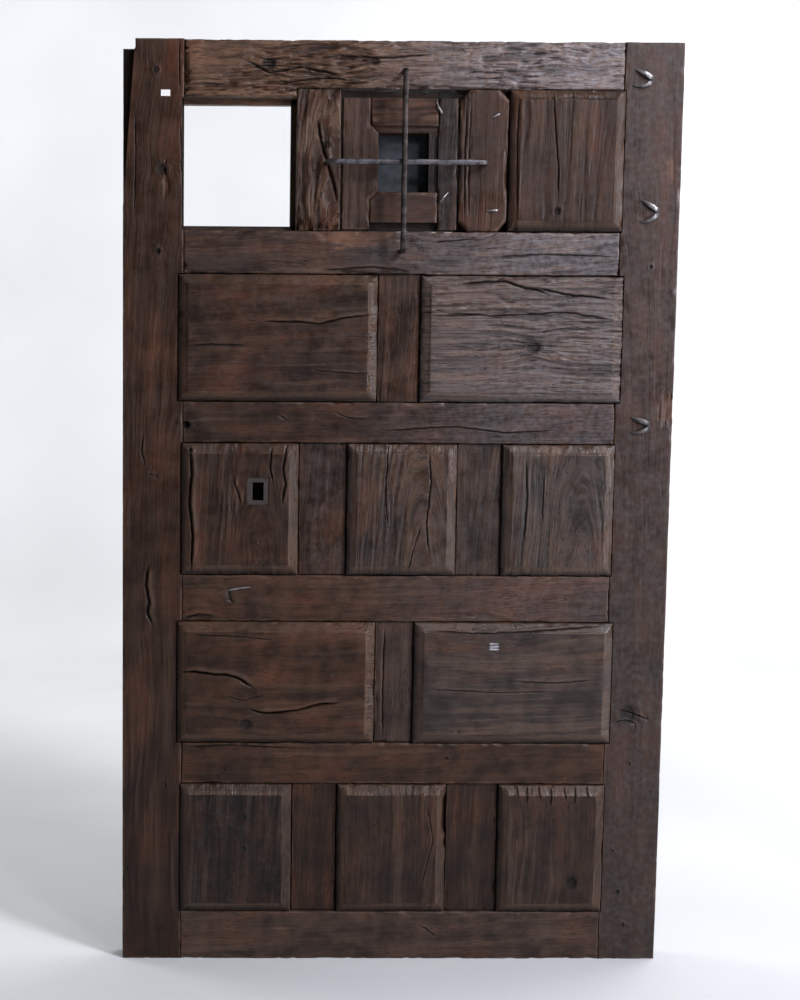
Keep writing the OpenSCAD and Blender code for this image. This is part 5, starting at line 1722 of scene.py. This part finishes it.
@dataclass
class Ironwork:
    """The forged grille, the clenched legs and nails, and the keyhole's plate.

    Bar_half is half a bar's place, drawn_half half its forged thickness and bite how deep its
    ends go in. An eye has an outer radius, a strap so thick and so tall, and legs so long.
    """

    bar_half: float = 5.5
    drawn_half: float = 5.2
    bite: float = 20.0
    eye_radius: float = 14.0
    strap: float = 6.0
    tall: float = 24.0
    leg: float = 36.0

    def finish(self, bm: BMesh, node: str, body: str, slot: str,
               material: Material, wear: Sequence[tuple[int, float]] = ()) -> None:
        """Writes a forged piece in the place of its CAD node.

        Args:
            bm: The piece, in millimetres; it is freed.
            node: The CAD node it stands for.
            body: The body it rides on.
            slot: The name of its material slot, which is only logged.
            material: Its finish.
            wear: Vertex indices and how rubbed each is.
        """
        bmesh.ops.holes_fill(bm, edges=[e for e in bm.edges if e.is_boundary], sides=0)
        bmesh.ops.recalc_face_normals(bm, faces=bm.faces[:])
        bmesh.ops.scale(bm, vec=(MM, MM, MM), verts=bm.verts[:])
        mesh = bpy.data.meshes.new(node)
        bm.to_mesh(mesh)
        bm.free()
        masks = np.zeros((len(mesh.vertices), 3), np.float32)
        for index, value in wear:
            masks[index, 0] = value
        layer = mesh.attributes.new("masks", "FLOAT_VECTOR", "POINT")
        layer.data.foreach_set("vector", masks.ravel())
        mesh.materials.append(material)
        mesh.polygons.foreach_set("use_smooth", [True] * len(mesh.polygons))
        mesh.set_sharp_from_angle(angle=math.radians(FORGED_CREASE))
        place(mesh, node, body, slot, (node,))

    def bent_bar(self, start: Vector, stop: Vector, y: float, rubbed: float) -> list[Station]:
        """A bar between two anchors, its drawn-out ends turned back into the wood.

        Args:
            start: Where it enters the wood first, on the wood's face.
            stop: Where it enters again.
            y: The bar's own depth.
            rubbed: How bright hands have rubbed it.

        Returns:
            The bar's stations.
        """
        half = self.drawn_half
        run = stop - start
        length = run.length
        way = run / length
        out = []
        for depth in (self.bite, 0.0, -6.0):
            out.append(Station(start.x, start.y + depth, start.z, half * 0.8, half * 0.7, 0.0))
        # A rounded bend leads from the drawn-out end into the straight bar
        bend, steps = 9.0, 4
        for n in range(steps + 1):
            angle = n / steps * math.pi / 2
            p = start + way * (bend * (1 - math.cos(angle)))
            out.append(Station(p.x, y + bend - bend * math.sin(angle), p.z, half, half * 0.85,
                               rubbed * 0.3))
        count = 24
        for n in range(1, count):
            p = start + way * (bend + (length - 2 * bend) * n / count)
            out.append(Station(p.x, y, p.z, half, half, rubbed))
        mirrored = []
        for s in out[:3 + steps + 1]:
            at = stop - (Vector((s.x, stop.y, s.z)) - start) + Vector((0, s.y - stop.y, 0))
            mirrored.append(Station(*at, s.across, s.depth, s.wear))
        return out + mirrored[::-1]

    def grille(self) -> None:
        """Builds the two crossed bars."""
        upright, cross = cad("grille_upright"), cad("grille_crossbar")
        iron = ForgedIron("grille_black_iron", black="#221F1E", bright="#7C7A80").build()
        off = self.bar_half
        x, y = (upright.x0 + upright.x1) / 2, upright.y0 + off
        bm = bmesh.new()
        bar = self.bent_bar(Vector((x, FACE_Y, upright.z0 + off)),
                            Vector((x, FACE_Y, upright.z1 - off)), y, 0.05)
        wear = forge(bm, bar, Vector((1, 0, 0)), 5)
        self.finish(bm, "grille_upright", "leaf", "grille_iron", iron, wear)
        z, y = (cross.z0 + cross.z1) / 2, cross.y0 + off
        bm = bmesh.new()
        bar = self.bent_bar(Vector((cross.x0 + off, FACE_Y, z)),
                            Vector((cross.x1 - off, FACE_Y, z)), y, 0.6)
        wear = forge(bm, bar, Vector((0, 0, 1)), 6)
        self.finish(bm, "grille_crossbar", "leaf", "grille_iron", iron, wear)

    def clench(self, bm: BMesh, x: float, y: float, z: float, angle: float,
               length: float, half: float, seed: int, bow: float = 0.0,
               wear: float = 0.9) -> list[tuple[int, float]]:
        """A forged end that comes out of the wood and lies bent over on its face.

        Args:
            bm: The bmesh that takes it.
            x: The hole's X.
            y: The wood's face.
            z: The hole's Z.
            angle: Which way it lies, in degrees from +X towards +Z.
            length: How long it is.
            half: Half its width at the hole.
            seed: Which hammer marks it gets.
            bow: How far its middle bows sideways.
            wear: How rubbed it is.

        Returns:
            Each new vertex's index and how rubbed it is.
        """
        way = Vector((math.cos(math.radians(angle)), 0, math.sin(math.radians(angle))))
        off = Vector((-way.z, 0, way.x))
        stations = [Station(x, y + 8, z, half * 0.9, half * 0.7, 0.1),
                    Station(x, y + 1, z, half * 0.9, half * 0.7, 0.3)]
        rise, steps = half * 1.15, 9
        for n in range(1, steps + 1):
            share = n / steps
            p = Vector((x, 0, z)) + way * (length * share) + off * (bow * math.sin(math.pi * share))
            up = rise * math.sin(math.pi * min(1, share * 1.05)) ** 0.6 * (1 - 0.35 * share)
            thin = 1 - 0.72 * share ** 1.6
            stations.append(Station(p.x, y - max(0.6, up) + 0.3, p.z, half * thin,
                                    half * 0.62 * thin + 0.25, wear))
        return forge(bm, stations, off, seed, corner=0.6, hammer=0.1)

    def eyes(self) -> None:
        """Builds the three hinge eyes: ring and shank behind, two clenched legs in front."""
        iron = ForgedIron("eye_rubbed_iron", black="#3A3939", bright="#A5A2A3", rusty=0.3).build()
        angles = {"hinge_eye_top": (152, 190), "hinge_eye_middle": (148, 205),
                  "hinge_eye_low": (160, 196)}
        # The upper and the lower leg: how far off the eye, half width, bow, how rubbed
        legs = ((4, 5.4, 0, 0.75), (-4, 4.6, 4, 0.4))
        for n, (node, ways) in enumerate(angles.items()):
            box = cad(node)
            x, z = box.x1 - self.eye_radius, (box.z0 + box.z1) / 2
            ring_y = box.y1 - self.eye_radius
            bm = bmesh.new()
            self.ring(bm, Vector((x, ring_y, z)))
            shank = [Station(x, y, z, 4.0, 6.4, 0.2)
                     for y in (ring_y - 10, BACK_Y, 10, -10, FACE_Y)]
            wear = forge(bm, shank, Vector((1, 0, 0)), 60 + n)
            dull = 0.35 if node == "hinge_eye_low" else 1.0
            for k, (way, (off, half, bow, rubbed)) in enumerate(zip(ways, legs)):
                wear += self.clench(bm, x, FACE_Y, z + off, way, self.leg, half,
                                    70 + 2 * n + k, bow=bow, wear=dull * rubbed)
            self.finish(bm, node, "leaf", "eye_iron", iron, wear)

    def ring(self, bm: BMesh, centre: Vector) -> None:
        """A flat strap closed into a ring round an upright axis.

        Args:
            bm: The bmesh that takes it.
            centre: The ring's centre.
        """
        half, tall = self.strap / 2, self.tall / 2
        radius = self.eye_radius - half
        outline = [(-half, -tall + 1), (-half + 1, -tall), (half - 1, -tall), (half, -tall + 1),
                   (half, tall - 1), (half - 1, tall), (-half + 1, tall), (-half, tall - 1)]
        corners = [bm.verts.new(centre + Vector((radius + a, 0, b))) for a, b in outline]
        edges = [bm.edges.new((p, q)) for p, q in zip(corners, corners[1:] + corners[:1])]
        bmesh.ops.spin(bm, geom=corners + edges, cent=centre, axis=(0, 0, 1),
                       angle=2 * math.pi, steps=32, use_merge=True, use_duplicate=False)

    def nails(self) -> None:
        """Builds the clenched nails of the wicket's hinges and of the fourth rail."""
        iron = ForgedIron("nail_rubbed_iron", black="#333131", bright="#A5A2A2", rusty=0.45).build()
        groups = {
            "wicket_hinge_nails": ("wicket", -19, (
                (75.75, 1702, 118, 24), (75.75, 1532, 50, 24))),
            "muntin_hinge_nails": ("leaf", FACE_Y, (
                (187.75, 1702, 205, 20), (187.75, 1516, 180, 24))),
            "rail_nail": ("leaf", FACE_Y, ((-333, 762.5, 8, 44),)),
        }
        for node, (body, y, spots) in groups.items():
            bm = bmesh.new()
            wear: list[tuple[int, float]] = []
            back = cad(node).y1
            for n, (x, z, angle, length) in enumerate(spots):
                shank = [Station(x, t, z, 2.4, 2.4) for t in (back - 2, back - 20, 0, y + 1)]
                wear += forge(bm, shank, Vector((1, 0, 0)), 80 + n)
                head = [Station(x, back - d, z, r, r)
                        for d, r in ((0.1, 3.5), (1, 6.3), (2.6, 7), (3, 6.6))]
                wear += forge(bm, head, Vector((1, 0, 0)), 84 + n, corner=0.8)
                wear += self.clench(bm, x, y, z, angle, length, 2.4, 90 + n, bow=1.0, wear=0.7)
            self.finish(bm, node, body, "nail_iron", iron, wear)

    def dress_cad(self) -> None:
        """Gives the ironwork that keeps its CAD shape its finish."""
        finishes = {
            ForgedIron("plain_black_iron"): (
                "spyhole_sheet_nails", "lock_case", "lock_case_nails", "turn_button_nail",
                "upper_hinge_wicket_leaf", "upper_hinge_muntin_leaf", "lower_hinge_wicket_leaf",
                "lower_hinge_muntin_leaf"),
            ForgedIron("worn_bolt_iron", black="#55534F", rusty=0.25): (
                "keyhole_plate_nails", "lock_bolt", "lock_spring", "upper_hinge_pin",
                "lower_hinge_pin"),
            ForgedIron("spyhole_sheet_iron", black="#33373B", rust="#2A2D30", rusty=0.45): (
                "spyhole_sheet",),
            ForgedIron("keyhole_plate_iron", black="#4A4542", rusty=0.35): ("keyhole_plate",),
        }
        for finish, nodes in finishes.items():
            material = finish.build()
            for node in nodes:
                dress(node, material)

    def build(self) -> None:
        """Builds and dresses all the ironwork."""
        self.grille()
        self.eyes()
        self.nails()
        self.dress_cad()


def dress(node: str, material: Material) -> None:
    """Gives a CAD node that stays a better material in every slot.

    Args:
        node: The CAD node's name.
        material: The finish.
    """
    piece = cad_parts[node]
    slots = piece.material_slots
    for slot in slots:
        slot.material = material
    LOG.info("%s: keeps its CAD shape, %d material slots", node, len(slots))


# ---- Stage, lights and camera


@dataclass
class Studio:
    """A pale sweep of paper, soft lamps and the camera."""

    lens: float = 54.25
    shift: float = 0.19
    stand: Point3 = (-0.406, -3.009, 1.227)
    yaw: float = -0.65
    pitch: float = -5.43
    roll: float = -0.35

    def camera(self) -> None:
        """Sets the camera."""
        data = bpy.data.cameras.new("camera")
        data.lens = self.lens
        data.shift_x = self.shift
        data.clip_end = 50
        lens = bpy.data.objects.new("camera", data)
        turn = (Matrix.Rotation(math.radians(self.yaw), 4, "Z")
                @ Matrix.Rotation(math.radians(self.pitch), 4, "X")
                @ Matrix.Rotation(math.radians(self.roll), 4, "Y")
                @ Matrix.Rotation(math.radians(90), 4, "X"))
        lens.matrix_world = Matrix.Translation(self.stand) @ turn
        bpy.context.scene.collection.objects.link(lens)
        bpy.context.scene.camera = lens

    def sweep(self) -> None:
        """Lays the floor and raises it into a backdrop behind the leaf."""
        bm = bmesh.new()
        half, front, depth, radius, height = 14.0, -4.6, 4.3, 1.5, 7.0
        edge = [bm.verts.new((-half, front, 0)), bm.verts.new((half, front, 0))]
        rim = [bm.edges.new(edge)]
        stops = [(depth - radius, 0.0)]
        stops += [(depth - radius + radius * math.sin(a), radius - radius * math.cos(a))
                  for a in (math.radians(9 * n) for n in range(1, 11))]
        stops.append((depth, height))
        for y, z in stops:
            made = bmesh.ops.extrude_edge_only(bm, edges=rim)["geom"]
            rim = only(made, BMEdge)
            for v in only(made, BMVert):
                v.co.y, v.co.z = y, z
        bmesh.ops.recalc_face_normals(bm, faces=bm.faces[:])
        mesh = bpy.data.meshes.new("sweep")
        bm.to_mesh(mesh)
        bm.free()
        mesh.materials.append(PaleBackground().build())
        mesh.polygons.foreach_set("use_smooth", [True] * len(mesh.polygons))
        paper = bpy.data.objects.new("sweep", mesh)
        bpy.context.scene.collection.objects.link(paper)

    def lamp(self, name: str, stand: Point3, aim: Point3, size: float, power: float,
             colour: str) -> None:
        """Adds one square soft lamp.

        Args:
            name: Its name.
            stand: Where it stands.
            aim: What it points at.
            size: Its side in metres.
            power: Its power in watts.
            colour: Its sRGB colour.
        """
        data = bpy.data.lights.new(name, "AREA")
        data.shape = "SQUARE"
        data.size = size
        data.energy = power
        data.color = linear(colour)[:3]
        lamp = bpy.data.objects.new(name, data)
        lamp.location = stand
        lamp.rotation_euler = (Vector(aim) - Vector(stand)).to_track_quat("-Z", "Y").to_euler()
        bpy.context.scene.collection.objects.link(lamp)

    def lights(self) -> None:
        """Sets a soft key from the upper right, a weak fill and an even surround."""
        middle, paper = (0, 0, 1.0), (0, 4.3, 1.0)
        for lamp in (
                ("key", (3.0, -3.0, 4.3), middle, 0.8, 195, "#FAF8FF"),
                ("window", (4.2, -3.1, 1.7), middle, 1.6, 200, "#F0F3FF"),
                ("sky", (1.6, -3.5, 3.1), (0.5, 0, 1.7), 0.7, 45, "#EEF1FF"),
                ("rear", (3.2, 3.4, 3.2), middle, 1.5, 60, "#FFFFFF"),
                ("fill", (-3.0, -3.4, 1.6), middle, 2.5, 4, "#FFF3E6"),
                ("paper_left", (-3.2, 1.6, 3.6), paper, 2.4, 92, "#FFFFFF"),
                ("paper_right", (3.2, 1.6, 3.6), paper, 2.4, 92, "#FFFFFF")):
            self.lamp(*lamp)
        world = bpy.data.worlds.new("surround")
        world.use_nodes = True
        tree = world.node_tree
        back = tree.nodes["Background"]
        back.inputs[0].default_value = linear("#EAECEE")
        # The surround lights the leaf weakly and shows behind it at nearly full strength
        seen = add(tree, "LightPath", out="Is Camera Ray")
        strength = add(tree, "MapRange", {}, seen, i3=0.1, i4=0.95)
        tree.links.new(strength, back.inputs[1])
        bpy.context.scene.world = world

    def build(self) -> None:
        """Sets stage, lights, camera and plain colour handling."""
        self.camera()
        self.sweep()
        self.lights()
        bpy.context.scene.view_settings.view_transform = "Standard"


def main() -> None:
    """Builds the scene in order."""
    logging.basicConfig(level=logging.INFO, format="%(name)s: %(message)s")
    Studio().build()
    Leaf().build()
    Wicket().build()
    Ironwork().build()
    dress("tenon_pegs", OldPine("peg_pine", tone=Tone.SHADE).build())
    dress("turn_button", OldPine("button_pine", tone=Tone.WARM).build())
    dress("paper_tag", PlainPaper().build())


if __name__ == "__main__":
    main()
